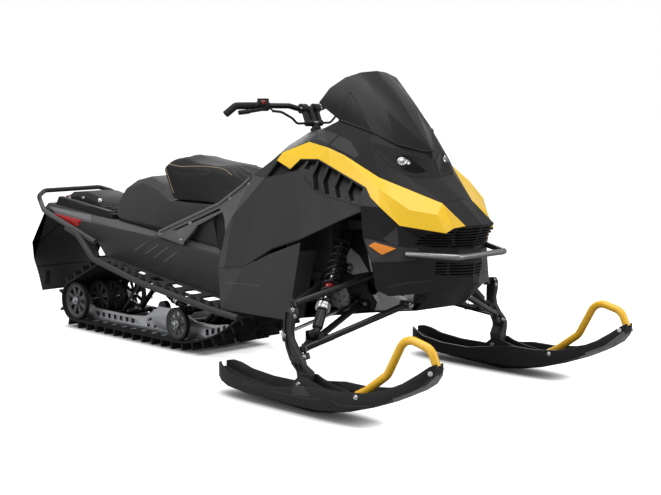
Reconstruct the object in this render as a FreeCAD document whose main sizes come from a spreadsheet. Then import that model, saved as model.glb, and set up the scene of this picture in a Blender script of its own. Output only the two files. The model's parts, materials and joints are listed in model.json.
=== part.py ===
import FreeCAD, Part
import Sketcher
import math
import os

V = FreeCAD.Vector
doc = FreeCAD.newDocument("snowmobile")

# Driving dimensions, in millimetres and degrees

SIZES = {
    # Track and the wheels inside it
    "track_width": 381,
    "belt_thickness": 7,
    "lug_height": 32,
    "lug_root": 15,
    "lug_crest": 9,
    "lug_rows": 44,
    "idler_radius": 88,
    "idler_station": -1132,
    "bend_radius": 740,
    "ramp_foot": -169.3,
    "ramp_angle": 32.5,
    "sprocket_radius": 80,
    "sprocket_station": 100,
    "sprocket_height": 305,
    "wheel_width": 20,
    "front_wheel_radius": 72,
    "front_wheel_station": -363,
    "upper_wheel_radius": 66,
    "upper_wheel_station": -627,
    "upper_wheel_height": 383,
    "axle_radius": 10,
    "wheel_offset": 165,
    "rail_offset": 112,
    "rail_thickness": 12,
    "rail_depth": 62,
    # Chassis
    "tunnel_width": 426,
    "tunnel_sheet": 3,
    "tunnel_rear": -1321,
    "tunnel_rear_top": 581,
    "shoulder_out": 24,
    "shoulder_down": 22,
    "tunnel_front": 377.7,
    "tunnel_slope": 5,
    "board_rail_radius": 13,
    "board_thickness": 8,
    "bumper_radius": 11,
    "flap_width": 380,
    "flap_thickness": 5,
    "strut_thickness": 6,
    "strut_flange": 9,
    "reflector_depth": 5,
    "lamp_width": 200,
    "deck_width": 350,
    "cargo_hole_radius": 4.5,
    # Body
    "panel_wall": 6,
    "screen_wall": 4,
    "bulkhead_width": 300,
    "bulkhead_plate": 10,
    # Seat
    "seat_width": 330,
    # Front suspension and steering
    "ski_stance": 1077,
    "ski_width": 140,
    "ski_wall": 11,
    "loop_radius": 14.5,
    "arm_radius": 12,
    "eye_radius": 15,
    "eye_height": 22,
    "stud_radius": 6,
    "stud_clearance": 0.5,
    "boss_drop": 28,
    "tie_rod_radius": 7,
    "coil_radius": 28,
    "bar_radius": 11,
    "grip_radius": 14,
    "seat_gap": 0.3,
    "engine_length": 256,
    "engine_width": 420,
    "engine_height": 350,
}

sheet = doc.addObject("Spreadsheet::Sheet", "Dimensions")
for row, (alias, value) in enumerate(SIZES.items(), 1):
    sheet.set("A%d" % row, alias)
    sheet.set("B%d" % row, str(value))
    sheet.setAlias("B%d" % row, alias)
doc.recompute()


def size(alias):
    return float(sheet.get(alias))


GAP = size("seat_gap")
LEFT = 1
RIGHT = -1


# Shape helpers

def mirrored(shape):
    return shape.mirror(V(0, 0, 0), V(0, 1, 0))


def both_sides(shape):
    return Part.makeCompound([shape, mirrored(shape)])


def polygon(points):
    return Part.makePolygon(list(points) + [points[0]])


def side_prism(outline, low, high):
    """A side view outline of (x, z) pairs, solid from y = low to y = high."""
    wire = polygon([V(x, low, z) for x, z in outline])
    return Part.Face(wire).extrude(V(0, high - low, 0))


def plan_prism(outline, low, high):
    """A plan outline of (x, y) pairs, solid from z = low to z = high."""
    wire = polygon([V(x, y, low) for x, y in outline])
    return Part.Face(wire).extrude(V(0, 0, high - low))


def rod(start, end, radius):
    along = end - start
    return Part.makeCylinder(radius, along.Length, start, along)


def ring(centre, axis, radius, bore, height):
    low = centre - V(axis).normalize() * (height / 2)
    outer = Part.makeCylinder(radius, height, low, axis)
    return outer.cut(Part.makeCylinder(bore, height, low, axis))


def bent_tube(points, radius, bend):
    """A round bar along straight runs joined by arcs of one bend radius."""
    edges = []
    start = points[0]
    for before, corner, after in zip(points, points[1:], points[2:]):
        back = (before - corner).normalize()
        ahead = (after - corner).normalize()
        half = back.getAngle(ahead) / 2
        reach = bend / math.tan(half)
        reach = min(reach, 0.45 * min((before - corner).Length, (after - corner).Length))
        first = corner + back * reach
        last = corner + ahead * reach
        middle = (back + ahead).normalize()
        radius_here = reach * math.tan(half)
        centre = corner + middle * (radius_here / math.sin(half))
        edges.append(Part.LineSegment(start, first).toShape())
        edges.append(Part.Arc(first, centre - middle * radius_here, last).toShape())
        start = last
    edges.append(Part.LineSegment(start, points[-1]).toShape())
    path = Part.Wire(edges)
    section = Part.Wire(Part.makeCircle(radius, points[0], points[1] - points[0]))
    return path.makePipeShell([section], True, True)


def fused(shapes):
    return shapes[0].fuse(list(shapes[1:])).removeSplitter()


def facet_solid(outer, inner, faces):
    """A wall between two matching sets of points, with the given outer faces."""
    made = []
    borders = {}
    for face in faces:
        for a, b in zip(face, face[1:] + face[:1]):
            edge = tuple(sorted((a, b)))
            borders[edge] = borders.get(edge, 0) + 1
        for k in range(1, len(face) - 1):
            corners = (face[0], face[k], face[k + 1])
            made.append(Part.Face(polygon([outer[c] for c in corners])))
            made.append(Part.Face(polygon([inner[c] for c in corners])))
    for (a, b), uses in borders.items():
        if uses == 1:
            made.append(Part.Face(polygon([outer[a], outer[b], inner[b]])))
            made.append(Part.Face(polygon([outer[a], inner[b], inner[a]])))
    solid = Part.Solid(Part.Shell(made))
    if solid.Volume < 0:
        solid.reverse()
    return solid


def ring_solid(rings):
    """A closed solid through rings of equal length, flat at both ends."""
    made = [Part.Face(polygon(rings[0][:1] + rings[0][k:k + 2])) for k in range(1, len(rings[0]) - 1)]
    made += [Part.Face(polygon(rings[-1][:1] + rings[-1][k:k + 2])) for k in range(1, len(rings[-1]) - 1)]
    for one, two in zip(rings, rings[1:]):
        count = len(one)
        for k in range(count):
            n = (k + 1) % count
            made.append(Part.Face(polygon([one[k], one[n], two[n]])))
            made.append(Part.Face(polygon([one[k], two[n], two[k]])))
    solid = Part.Solid(Part.Shell(made))
    if solid.Volume < 0:
        solid.reverse()
    return solid


def mirrored_ring(half):
    """A full ring from its left half, listed from the bottom up."""
    left = [V(x, y, z) for x, y, z in half]
    right = [V(x, -y, z) for x, y, z in reversed(half) if y > 0]
    return left + right


nodes = []


def add(name, shape):
    feature = doc.addObject("Part::Feature", name)
    feature.Label = name
    feature.Shape = shape
    feature.Placement = FreeCAD.Placement()
    nodes.append(feature)
    return feature


# Helpers for bodies whose sketches and features follow the dimension cells

def origin_part(body, role):
    return [feature for feature in body.Origin.OriginFeatures if feature.Role == role][0]


def new_body(name):
    body = doc.addObject("PartDesign::Body", name)
    body.Label = name
    return body


def new_sketch(body, name, plane, offset=None):
    """A sketch on an origin plane of the body, moved along the plane's normal."""
    sketch = body.newObject("Sketcher::SketchObject", name)
    sketch.AttachmentSupport = [(origin_part(body, plane), "")]
    sketch.MapMode = "FlatFace"
    if offset is not None:
        sketch.setExpression("AttachmentOffset.Base.z", str(offset))
    return sketch


def measure(sketch, kind, line, place):
    """Hold one coordinate of a line's start at a number or at a sum of cells."""
    number = float(sketch.evalExpression(place)) if isinstance(place, str) else float(place)
    index = sketch.addConstraint(Sketcher.Constraint(kind, -1, 1, line, 1, number))
    if isinstance(place, str):
        sketch.setExpression("Constraints[%d]" % index, place)


def draw_outline(sketch, corners):
    first = sketch.GeometryCount
    count = len(corners)
    spots = []
    for corner in corners:
        numbers = [float(sketch.evalExpression(c)) if isinstance(c, str) else float(c) for c in corner]
        spots.append(V(numbers[0], numbers[1], 0))
    for k in range(count):
        sketch.addGeometry(Part.LineSegment(spots[k], spots[(k + 1) % count]), False)
    for k in range(count):
        ends = (first + k, 2, first + (k + 1) % count, 1)
        sketch.addConstraint(Sketcher.Constraint("Coincident", *ends))
    for k, (across, up) in enumerate(corners):
        measure(sketch, "DistanceX", first + k, across)
        measure(sketch, "DistanceY", first + k, up)


def draw_circle(sketch, x, y, radius_cells):
    number = float(sketch.evalExpression(radius_cells))
    index = sketch.addGeometry(Part.Circle(V(x, y, 0), V(0, 0, 1), number), False)
    sketch.addConstraint(Sketcher.Constraint("DistanceX", -1, 1, index, 3, float(x)))
    sketch.addConstraint(Sketcher.Constraint("DistanceY", -1, 1, index, 3, float(y)))
    held = sketch.addConstraint(Sketcher.Constraint("Radius", index, number))
    sketch.setExpression("Constraints[%d]" % held, radius_cells)


def pad(body, name, sketch, length_cells, both_ways=False, reverse=False):
    feature = body.newObject("PartDesign::Pad", name)
    feature.Profile = sketch
    feature.setExpression("Length", length_cells)
    if both_ways:
        feature.SideType = "Symmetric"
    feature.Reversed = reverse
    return feature


def pocket_through(body, name, sketch):
    feature = body.newObject("PartDesign::Pocket", name)
    feature.Profile = sketch
    feature.Type = "ThroughAll"
    feature.SideType = "Symmetric"
    return feature


def mirror_across(body, name, features):
    """Repeat features on the other side of the middle plane."""
    copy = body.newObject("PartDesign::Mirrored", name)
    copy.Originals = features
    copy.MirrorPlane = (origin_part(body, "XZ_Plane"), [""])
    body.Tip = copy
    return copy


def finish_body(body):
    doc.recompute()
    nodes.append(body)
    return body


# Levels and stations that several pieces share

BELT_IN = size("lug_height") + size("belt_thickness")
IDLER = V(size("idler_station"), 0, BELT_IN + size("idler_radius"))
RAMP_HALF = math.radians(size("ramp_angle") / 2)
BEND = V(size("ramp_foot") - size("bend_radius") * math.tan(RAMP_HALF), 0, BELT_IN + size("bend_radius"))
SPROCKET = V(size("sprocket_station"), 0, size("sprocket_height"))
UPPER = V(size("upper_wheel_station"), 0, size("upper_wheel_height"))
FRONT_WHEEL = V(size("front_wheel_station"), 0, BELT_IN + size("front_wheel_radius") + 0.5)
TUNNEL_HALF = size("tunnel_width") / 2
SLOPE = math.tan(math.radians(size("tunnel_slope")))
SKI_Y = size("ski_stance") / 2


def tunnel_top(x):
    return size("tunnel_rear_top") - SLOPE * (x - size("tunnel_rear"))


# Track: one endless belt round rear idlers, rail bend, sprockets and upper idlers

def loop_runs(extra):
    """Straight runs and arcs of the track loop, pushed out from the inner face."""
    circles = [
        (IDLER, size("idler_radius") + extra),
        (BEND, size("bend_radius") + extra),
        (SPROCKET, size("sprocket_radius") + extra),
        (UPPER, size("upper_wheel_radius") + extra),
    ]
    runs = []
    tangents = []
    for (c1, r1), (c2, r2) in zip(circles, circles[1:] + circles[:1]):
        across = c2 - c1
        heading = math.atan2(across.z, across.x)
        lean = math.asin((r1 - r2) / across.Length)
        out = heading - math.pi / 2 + lean
        normal = V(math.cos(out), 0, math.sin(out))
        tangents.append((c1 + normal * r1, c2 + normal * r2, normal))
    for k, (start, end, normal) in enumerate(tangents):
        runs.append(("line", start, end, normal, None, None))
        centre, radius = circles[(k + 1) % len(circles)]
        following = tangents[(k + 1) % len(tangents)]
        runs.append(("arc", end, following[0], normal, following[2], (centre, radius)))
    return runs


def loop_wire(extra):
    edges = []
    for kind, start, end, n1, n2, circle in loop_runs(extra):
        if kind == "line":
            edges.append(Part.LineSegment(start, end).toShape())
        else:
            middle = circle[0] + (n1 + n2).normalize() * circle[1]
            edges.append(Part.Arc(start, middle, end).toShape())
    return Part.Wire(edges)


def loop_frames(count, extra):
    """Evenly spaced points on the loop, each with its outward and forward directions."""
    pieces = []
    for kind, start, end, n1, n2, circle in loop_runs(extra):
        if kind == "line":
            length = (end - start).Length
        else:
            length = circle[1] * n1.getAngle(n2)
        pieces.append((kind, start, end, n1, circle, length))
    total = sum(p[-1] for p in pieces)
    frames = []
    for k in range(count):
        place = total * (k + 0.5) / count
        for kind, start, end, n1, circle, length in pieces:
            if place <= length:
                break
            place -= length
        if kind == "line":
            point = start + (end - start).normalize() * place
            out = n1
        else:
            turn = place / circle[1]
            angle = math.atan2(n1.z, n1.x) + turn
            out = V(math.cos(angle), 0, math.sin(angle))
            point = circle[0] + out * circle[1]
        frames.append((point, out, V(-out.z, 0, out.x)))
    return frames, total


def make_track():
    half = size("track_width") / 2
    outer = Part.Face(loop_wire(size("belt_thickness")))
    inner = Part.Face(loop_wire(0))
    belt = outer.cut(inner).translated(V(0, -half, 0)).extrude(V(0, 2 * half, 0))
    frames, length = loop_frames(int(size("lug_rows")), size("belt_thickness"))
    lugs = []
    for k, (point, out, ahead) in enumerate(frames):
        if k % 2:
            spans = [(-0.98 * half, -0.66 * half), (-0.48 * half, -0.10 * half)]
            spans += [(0.10 * half, 0.48 * half), (0.66 * half, 0.98 * half)]
        else:
            spans = [(-0.98 * half, -0.55 * half), (-0.24 * half, 0.24 * half), (0.55 * half, 0.98 * half)]
        root = size("lug_root") / 2
        crest = size("lug_crest") / 2
        tall = size("lug_height")
        foot = point - out * 1.5
        for low, high in spans:
            corners = [
                foot - ahead * root,
                foot + ahead * root,
                point + ahead * crest + out * tall,
                point - ahead * crest + out * tall,
            ]
            wire = polygon([c + V(0, low, 0) for c in corners])
            lugs.append(Part.Face(wire).extrude(V(0, high - low, 0)))
    return belt.fuse(lugs)


add("track", make_track())


# Wheels that run on the inside of the belt

def spoked_wheel(radius, width, bore):
    """A wheel about the Y axis: rubber rim band, thin web with eight windows, hub."""
    rim = Part.makeCylinder(radius, width, V(0, -width / 2, 0), V(0, 1, 0))
    for side in (-1, 1):
        face = V(0, side * width / 2, 0)
        recess = Part.makeCone(radius - 12, radius - 16, width / 2 - 3, face, V(0, -side, 0))
        hub = Part.makeCylinder(bore + 12, width / 2, face, V(0, -side, 0))
        rim = rim.cut(recess.cut(hub))
    near = bore + 17
    far = radius - 21
    for k in range(8):
        corners = [(-14, far), (-7, near), (7, near), (14, far)]
        turned = []
        for turn, reach in corners:
            angle = math.radians(45 * k + turn)
            turned.append((math.cos(angle) * reach, math.sin(angle) * reach))
        rim = rim.cut(side_prism(turned, -width, width))
    return rim.cut(Part.makeCylinder(bore, 2 * width, V(0, -width, 0), V(0, 1, 0)))


def make_idler_wheels():
    wheels = []
    gap = GAP
    stations = [
        (IDLER, size("idler_radius") - gap, (-1, -0.22, 0.22, 1)),
        (FRONT_WHEEL, size("front_wheel_radius") - gap, (-1, 1)),
        (UPPER, size("upper_wheel_radius") - gap, (-0.5, 0.5)),
    ]
    for centre, radius, places in stations:
        for place in places:
            wheel = spoked_wheel(radius, size("wheel_width"), size("axle_radius") + gap)
            wheels.append(wheel.translated(centre + V(0, place * size("wheel_offset"), 0)))
    return Part.makeCompound(wheels)


add("idler_wheels", make_idler_wheels())


def make_axles():
    shafts = []
    reach = size("wheel_offset") + size("wheel_width") / 2 + 6
    for centre, half in ((IDLER, reach), (FRONT_WHEEL, reach)):
        shafts.append(rod(centre - V(0, half, 0), centre + V(0, half, 0), size("axle_radius")))
    drive = rod(SPROCKET - V(0, TUNNEL_HALF - 4, 0), SPROCKET + V(0, TUNNEL_HALF - 4, 0), 14)
    teeth = []
    for place in (-0.5, 0.5):
        middle = SPROCKET + V(0, place * size("rail_offset") * 2, 0)
        rim = size("sprocket_radius") - GAP
        outline = []
        for k in range(16):
            angle = math.radians(22.5 * k)
            reach = rim if k % 2 else rim - 14
            outline.append((SPROCKET.x + math.cos(angle) * reach, SPROCKET.z + math.sin(angle) * reach))
        teeth.append(side_prism(outline, middle.y - 12, middle.y + 12))
    shafts.append(fused([drive] + teeth))
    return Part.makeCompound(shafts)


add("track_axles", make_axles())


# Slide rails: drilled extrusions with an upswept front end

RAIL_TOP = [(-19, 168), (-70, 140), (-161, 124), (-300, 120), (-400, 150), (-470, 160), (-555, 160)]
RAIL_TOP += [(-602, 134), (-660, 104), (-788, 93), (-1040, 95), (-1092, 112), (-1110, 152), (-1166, 152)]
ROLLER = V(-558, 0, 150)


def make_rails():
    foot = BELT_IN + GAP
    radius = size("bend_radius") - GAP
    back = IDLER.x - 40
    bottom = [(back, foot + 14), (IDLER.x - 4, foot)]
    for k in range(9):
        angle = math.radians(4 * k)
        bottom.append((BEND.x + math.sin(angle) * radius, BEND.z - math.cos(angle) * radius))
    ramp = loop_runs(0)[2]
    tip = ramp[1] + (ramp[2] - ramp[1]).normalize() * 62 - ramp[3] * GAP
    tip_high = tip - ramp[3] * 12
    outline = bottom + [(tip.x, tip.z), (tip_high.x, tip_high.z)] + RAIL_TOP + [(back, 100)]
    low = size("rail_offset") - size("rail_thickness") / 2
    high = low + size("rail_thickness")
    rail = side_prism(outline, low, high)
    cuts = []
    for k in range(7):
        x = -1046 + 46 * k
        cuts.append([(x, foot + 20), (x + 24, foot + 20), (x + 22, foot + 42), (x + 2, foot + 42)])
    for x in (-650, -600):
        cuts.append([(x, foot + 18), (x + 22, foot + 18), (x + 22, foot + 30), (x, foot + 30)])
    cuts.append([(-646, foot + 46), (-622, foot + 46), (-610, foot + 62), (-632, foot + 58)])
    for k in range(6):
        angle = math.radians(13 + 3.2 * k)
        near = radius - 14
        far = radius - 40 + 2.5 * k
        spread = math.radians(0.85)
        cuts.append([
            (BEND.x + math.sin(angle + turn) * reach, BEND.z - math.cos(angle + turn) * reach)
            for turn, reach in ((-spread, near), (spread, near), (1.6 * spread, far), (-0.4 * spread, far))
        ])
    rail = rail.cut([side_prism(cut, low - 1, high + 1) for cut in cuts])
    for centre in (IDLER, FRONT_WHEEL):
        hole = rod(centre + V(0, low - 1, 0), centre + V(0, high + 1, 0), size("axle_radius") + GAP)
        rail = rail.cut(hole)
    return both_sides(rail)


add("slide_rails", make_rails())


# Rear suspension arms: tubular frames between the rails and the tunnel

ARM_TUBE = 13
FRONT_FOOT = V(-318, 0, 92)
FRONT_HEAD = V(-60, 0, 330)
REAR_FOOT = V(-930, 0, 80)
LINK = V(-500, 0, 136)
REAR_ARM_SHARE = 0.62


def make_rear_arms():
    inside = size("rail_offset") - size("rail_thickness") / 2 - GAP
    wall = TUNNEL_HALF - size("tunnel_sheet") - GAP
    arms = []
    for foot, head, spread, thick in ((FRONT_FOOT, FRONT_HEAD, 60, 12), (REAR_FOOT, UPPER, 50, 12)):
        pieces = [
            rod(foot - V(0, inside, 0), foot + V(0, inside, 0), ARM_TUBE),
            rod(head - V(0, wall, 0), head + V(0, wall, 0), size("axle_radius")),
        ]
        for side in (-1, 1):
            pieces.append(rod(foot + V(0, side * spread, 0), head + V(0, side * spread, 0), thick))
        arms.append(pieces)
    perch = REAR_FOOT + (UPPER - REAR_FOOT) * REAR_ARM_SHARE
    arms[1].append(rod(perch - V(0, 52, 0), perch + V(0, 52, 0), ARM_TUBE))
    cross = rod(LINK - V(0, inside, 0), LINK + V(0, inside, 0), ARM_TUBE)
    rollers = []
    for side in (-1, 1):
        middle = ROLLER + V(0, side * 88, 0)
        wheel = rod(middle - V(0, 12, 0), middle + V(0, 12, 0), 32)
        stub = rod(middle, ROLLER + V(0, side * inside, 0), 8)
        rollers.append(fused([wheel, stub]))
    shapes = [fused(pieces) for pieces in arms]
    return Part.makeCompound(shapes + [cross] + rollers)


add("suspension_arms", make_rear_arms())


def make_rear_shocks():
    perch = REAR_FOOT + (UPPER - REAR_FOOT) * REAR_ARM_SHARE
    made = []
    for low, high, low_pin, high_pin in (
        (FRONT_FOOT, FRONT_HEAD, ARM_TUBE, size("axle_radius")),
        (LINK, perch, ARM_TUBE, ARM_TUBE),
    ):
        along = (high - low).normalize()
        eyes = [ring(low, V(0, 1, 0), 22, low_pin + GAP, 34), ring(high, V(0, 1, 0), 22, high_pin + GAP, 34)]
        body = rod(low + along * 18, high - along * 18, 14)
        coil = rod(low + along * 60, high - along * 60, 28)
        made.append(fused([body, coil] + eyes))
    return made


# Tunnel: one bent sheet over the track, open below

CARGO_STATIONS = (-1240, -860)
CARGO_Y = 130

BOARD_LINE = [(-1010, 452), (-800, 368), (-370, 312), (161, 255), (300, 245)]


def board_height(x):
    line = BOARD_LINE
    for (x1, z1), (x2, z2) in zip(line, line[1:]):
        if x <= x2 or (x2, z2) == line[-1]:
            return z1 + (z2 - z1) * (x - x1) / (x2 - x1)


SHOULDER_OUT = size("shoulder_out")
SHOULDER_DOWN = size("shoulder_down")


def shoulder_section(station, shrink):
    """The tunnel's outline across the vehicle, from one flank's foot over the top to the other."""
    slant = math.hypot(SHOULDER_OUT, SHOULDER_DOWN)
    side = "(Dimensions.tunnel_width / 2 - %.3f)" % shrink
    top = tunnel_top(station)
    flank = top - SHOULDER_DOWN - shrink * (slant - SHOULDER_DOWN) / SHOULDER_OUT
    inset = SHOULDER_OUT + shrink * (slant - SHOULDER_OUT) / SHOULDER_DOWN
    flat = "(Dimensions.tunnel_width / 2 - %.3f)" % inset
    right = [("-" + side, 0), ("-" + side, flank), ("-" + flat, top - shrink)]
    left = [(flat, top - shrink), (side, flank), (side, 0)]
    return right + left


def make_tunnel():
    body = new_body("tunnel")
    rear = size("tunnel_rear")
    front = size("tunnel_front")
    section = new_sketch(body, "rear_section", "YZ_Plane", "Dimensions.tunnel_rear")
    draw_outline(section, shoulder_section(rear, 0) + shoulder_section(rear, size("tunnel_sheet"))[::-1])
    skin = pad(body, "skin", section, "Dimensions.tunnel_front - Dimensions.tunnel_rear")
    skin.UseCustomVector = True
    skin.Direction = V(1, 0, -SLOPE)
    skin.AlongSketchNormal = True
    wall_sketch = new_sketch(body, "front_wall_section", "YZ_Plane", "Dimensions.tunnel_front")
    wall_outline = shoulder_section(front, 0)
    wall_outline[0] = (wall_outline[0][0], 248)
    wall_outline[-1] = (wall_outline[-1][0], 248)
    draw_outline(wall_sketch, wall_outline)
    pad(body, "front_wall", wall_sketch, "Dimensions.tunnel_sheet", reverse=True)
    lower = [(rear - 5, tunnel_top(rear) - 48), (rear, tunnel_top(rear) - 48), (-881, 424)]
    lower += [(-830, board_height(-800) + 8)]
    lower += [(x, board_height(x) - 4) for x in (-700, -370, 161)]
    lower += [(front - 4, board_height(front) - 4), (front - 4, -200), (rear - 5, -200)]
    away_sketch = new_sketch(body, "below_the_flanks", "XZ_Plane")
    draw_outline(away_sketch, lower)
    pocket_through(body, "trimmed_flanks", away_sketch)
    low_sketch = new_sketch(body, "below_the_wall", "XZ_Plane")
    foot = board_height(front) - 4
    draw_outline(low_sketch, [(front - 6, foot), (front + 2, foot), (front + 2, -200), (front - 6, -200)])
    pocket_through(body, "trimmed_front", low_sketch)
    bolt_sketch = new_sketch(body, "bolt_clearances", "XY_Plane")
    for x in CARGO_STATIONS:
        for y in (-CARGO_Y, CARGO_Y):
            draw_circle(bolt_sketch, x, y, "Dimensions.cargo_hole_radius + 2.5")
    body.Tip = pocket_through(body, "bolt_clearance_holes", bolt_sketch)
    return finish_body(body)


make_tunnel()


# Running boards: sloping treads with a tubular outer rail

def rail_reach(x):
    """How far out the board's rail runs at a station."""
    if x < -370:
        return TUNNEL_HALF + 87 + 62 * (x + 800) / 430
    return TUNNEL_HALF + 149 + 23 * (x + 370) / 531


def make_board():
    radius = size("board_rail_radius")
    inner = TUNNEL_HALF + GAP
    root = TUNNEL_HALF + 41.3
    rail_line = [(-1075, root, 484), (-985, root, 459), (-800, rail_reach(-800), 368)]
    rail_line += [(-370, rail_reach(-370), 312), (161, rail_reach(161), 255), (300, rail_reach(161), 245)]
    rail = bent_tube([V(x, y, z) for x, y, z in rail_line], radius, 90)
    stations = rail_line[2:]
    outer = {}
    below = {}
    drop = V(0, 0, -size("board_thickness"))
    faces = []
    for k, (x, y, z) in enumerate(stations):
        outer["in%d" % k] = V(x, inner, z + 4)
        outer["out%d" % k] = V(x, y, z + 4)
        if k:
            faces.append(["in%d" % (k - 1), "out%d" % (k - 1), "out%d" % k, "in%d" % k])
    for name, point in outer.items():
        below[name] = point + drop
    tread = facet_solid(outer, below, faces)
    slots = []
    teeth = []
    for k in range(14):
        x = -722 + 62 * k
        edge = rail_reach(x)
        slots.append(Part.makeBox(38, 34, 200, V(x, edge - 52, board_height(x) - 100)))
        tooth = [(x + 38, board_height(x + 38) - 2), (x + 62, board_height(x + 62) - 2)]
        tooth += [(x + 56, board_height(x + 56) + 16), (x + 44, board_height(x + 44) + 16)]
        teeth.append(side_prism(tooth, edge - 46, edge - 24))
    for k in range(7):
        x = -660 + 124 * k
        width = rail_reach(x) - inner - 84
        slots.append(Part.makeBox(70, width, 200, V(x, inner + 16, board_height(x) - 100)))
    return fused([tread.cut(slots), rail] + teeth)


add("running_boards", both_sides(make_board()))


# Rear bumper: one tube that rises behind the tunnel

def make_bumper():
    radius = size("bumper_radius")
    side = TUNNEL_HALF + 6 + radius
    half = [V(-881, side, 432), V(-1300, side, 548), V(-1362, side - 12, 612), V(-1400, side - 70, 634)]
    far = [V(p.x, -p.y, p.z) for p in reversed(half)]
    tube = bent_tube(half + far, radius, 45)
    studs = []
    for x in (-905, -1290):
        z = 432 + (x + 881) * -116 / 419
        studs.append(rod(V(x, TUNNEL_HALF + GAP, z), V(x, side, z), 7))
    return fused([tube] + studs + [mirrored(stud) for stud in studs])


add("rear_bumper", make_bumper())


# Snow flap: a folded sheet that hangs from the rear edge

def make_flap():
    body = new_body("snow_flap")
    wall = size("flap_thickness")
    top = tunnel_top(size("tunnel_rear"))
    behind = "Dimensions.tunnel_rear - Dimensions.seat_gap"
    front = [(behind, top), (-1338, 518), (-1471, 380), (-1460, 300), (-1419, 222), (-1391, 150)]
    back = [(x - wall, z) for x, z in front[1:]] + [(behind + " - Dimensions.flap_thickness", top)]
    sketch = new_sketch(body, "fold_line", "XZ_Plane")
    draw_outline(sketch, front + back[-2::-1] + back[-1:])
    pad(body, "sheet", sketch, "Dimensions.flap_width", both_ways=True)
    return finish_body(body)


make_flap()

# Red side reflectors on the tunnel flanks

FLANK_SEAT = "Dimensions.tunnel_width / 2 + Dimensions.seat_gap"
reflectors = new_body("rear_reflectors")
reflector_sketch = new_sketch(reflectors, "lens_outline", "XZ_Plane", FLANK_SEAT)
draw_outline(reflector_sketch, [(-1262, 522), (-1264, 541), (-1022, 522), (-1030, 503)])
lens_pad = pad(reflectors, "lens", reflector_sketch, "Dimensions.reflector_depth")
mirror_across(reflectors, "both_lenses", [lens_pad])
finish_body(reflectors)

# Tail lamp at the rear end of the tunnel

lamp_rear = size("tunnel_rear") + 4
lamp_front = lamp_rear + 26
tail_lamp = new_body("tail_lamp")
lamp_sketch = new_sketch(tail_lamp, "lamp_outline", "XZ_Plane")
draw_outline(lamp_sketch, [
    ("Dimensions.tunnel_rear + 4", tunnel_top(lamp_rear) + GAP),
    ("Dimensions.tunnel_rear + 30", tunnel_top(lamp_front) + GAP),
    ("Dimensions.tunnel_rear + 30", tunnel_top(lamp_front) + 32),
    ("Dimensions.tunnel_rear + 12", tunnel_top(lamp_rear) + 32),
])
pad(tail_lamp, "lamp", lamp_sketch, "Dimensions.lamp_width", both_ways=True)
finish_body(tail_lamp)


# Rear deck: a ribbed plate behind the seat

DECK_FRONT = -822
DECK_REAR = -1285
DECK_TOP = 22
BOSS_RISE = 28


def deck_point(x, height):
    """A side-view point above the sloping tunnel top."""
    return (x, tunnel_top(x) + height)


def make_deck():
    body = new_body("rear_deck")
    base = new_sketch(body, "plate_outline", "XZ_Plane")
    draw_outline(base, [
        deck_point(DECK_REAR, GAP),
        deck_point(DECK_FRONT, GAP),
        deck_point(DECK_FRONT, DECK_TOP),
        deck_point(DECK_REAR + 24, DECK_TOP),
    ])
    pad(body, "plate", base, "Dimensions.deck_width", both_ways=True)
    edge = new_sketch(body, "edge_outline", "XZ_Plane", "Dimensions.deck_width / 2 - 25")
    draw_outline(edge, [
        deck_point(DECK_REAR + 14, 14),
        deck_point(DECK_FRONT - 12, 14),
        deck_point(DECK_FRONT - 26, 32),
        deck_point(DECK_REAR + 30, 40),
    ])
    edge_pad = pad(body, "edge", edge, "25")
    mirror_across(body, "both_edges", [edge_pad])
    ribs = new_sketch(body, "rib_outlines", "XZ_Plane")
    for x in (-862, -902, -942):
        crest = [deck_point(x - 17, 32), deck_point(x - 5, 32)]
        draw_outline(ribs, [deck_point(x, 14), deck_point(x - 22, 14)] + crest)
    pad(body, "ribs", ribs, "230", both_ways=True)
    sections = []
    for place, drop in (("-108", 20), ("-84", 0), ("84", 0), ("108", 20)):
        hump = new_sketch(body, "housing_" + place.replace("-", "right_"), "XZ_Plane", place)
        draw_outline(hump, [
            deck_point(DECK_REAR + 2, 10),
            deck_point(DECK_REAR + 2, 42 - drop / 2),
            deck_point(-1262, 56 - drop),
            deck_point(-1140, 71 - drop),
            deck_point(-1045, 60 - drop),
            deck_point(-985, 30 - drop / 3),
            deck_point(-985, 10),
        ])
        sections.append(hump)
    housing = body.newObject("PartDesign::AdditiveLoft", "housing")
    housing.Profile = sections[0]
    housing.Sections = sections[1:]
    housing.Ruled = True
    for k, x in enumerate(CARGO_STATIONS):
        top = tunnel_top(x) + BOSS_RISE
        bosses = new_sketch(body, "boss_circles_%d" % k, "XY_Plane", "%.3f" % top)
        for y in (-CARGO_Y, CARGO_Y):
            draw_circle(bosses, x, y, "Dimensions.cargo_hole_radius + 8.5")
        pad(body, "bosses_%d" % k, bosses, "18", reverse=True)
    holes = new_sketch(body, "bolt_circles", "XY_Plane")
    for x in CARGO_STATIONS:
        for y in (-CARGO_Y, CARGO_Y):
            draw_circle(holes, x, y, "Dimensions.cargo_hole_radius")
    body.Tip = pocket_through(body, "bolt_holes", holes)
    return finish_body(body)


make_deck()
for x in CARGO_STATIONS:
    print("cargo boss top at x %.0f: %.3f" % (x, tunnel_top(x) + BOSS_RISE))


# Frame struts from the tunnel flanks up to the knee frame

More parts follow.
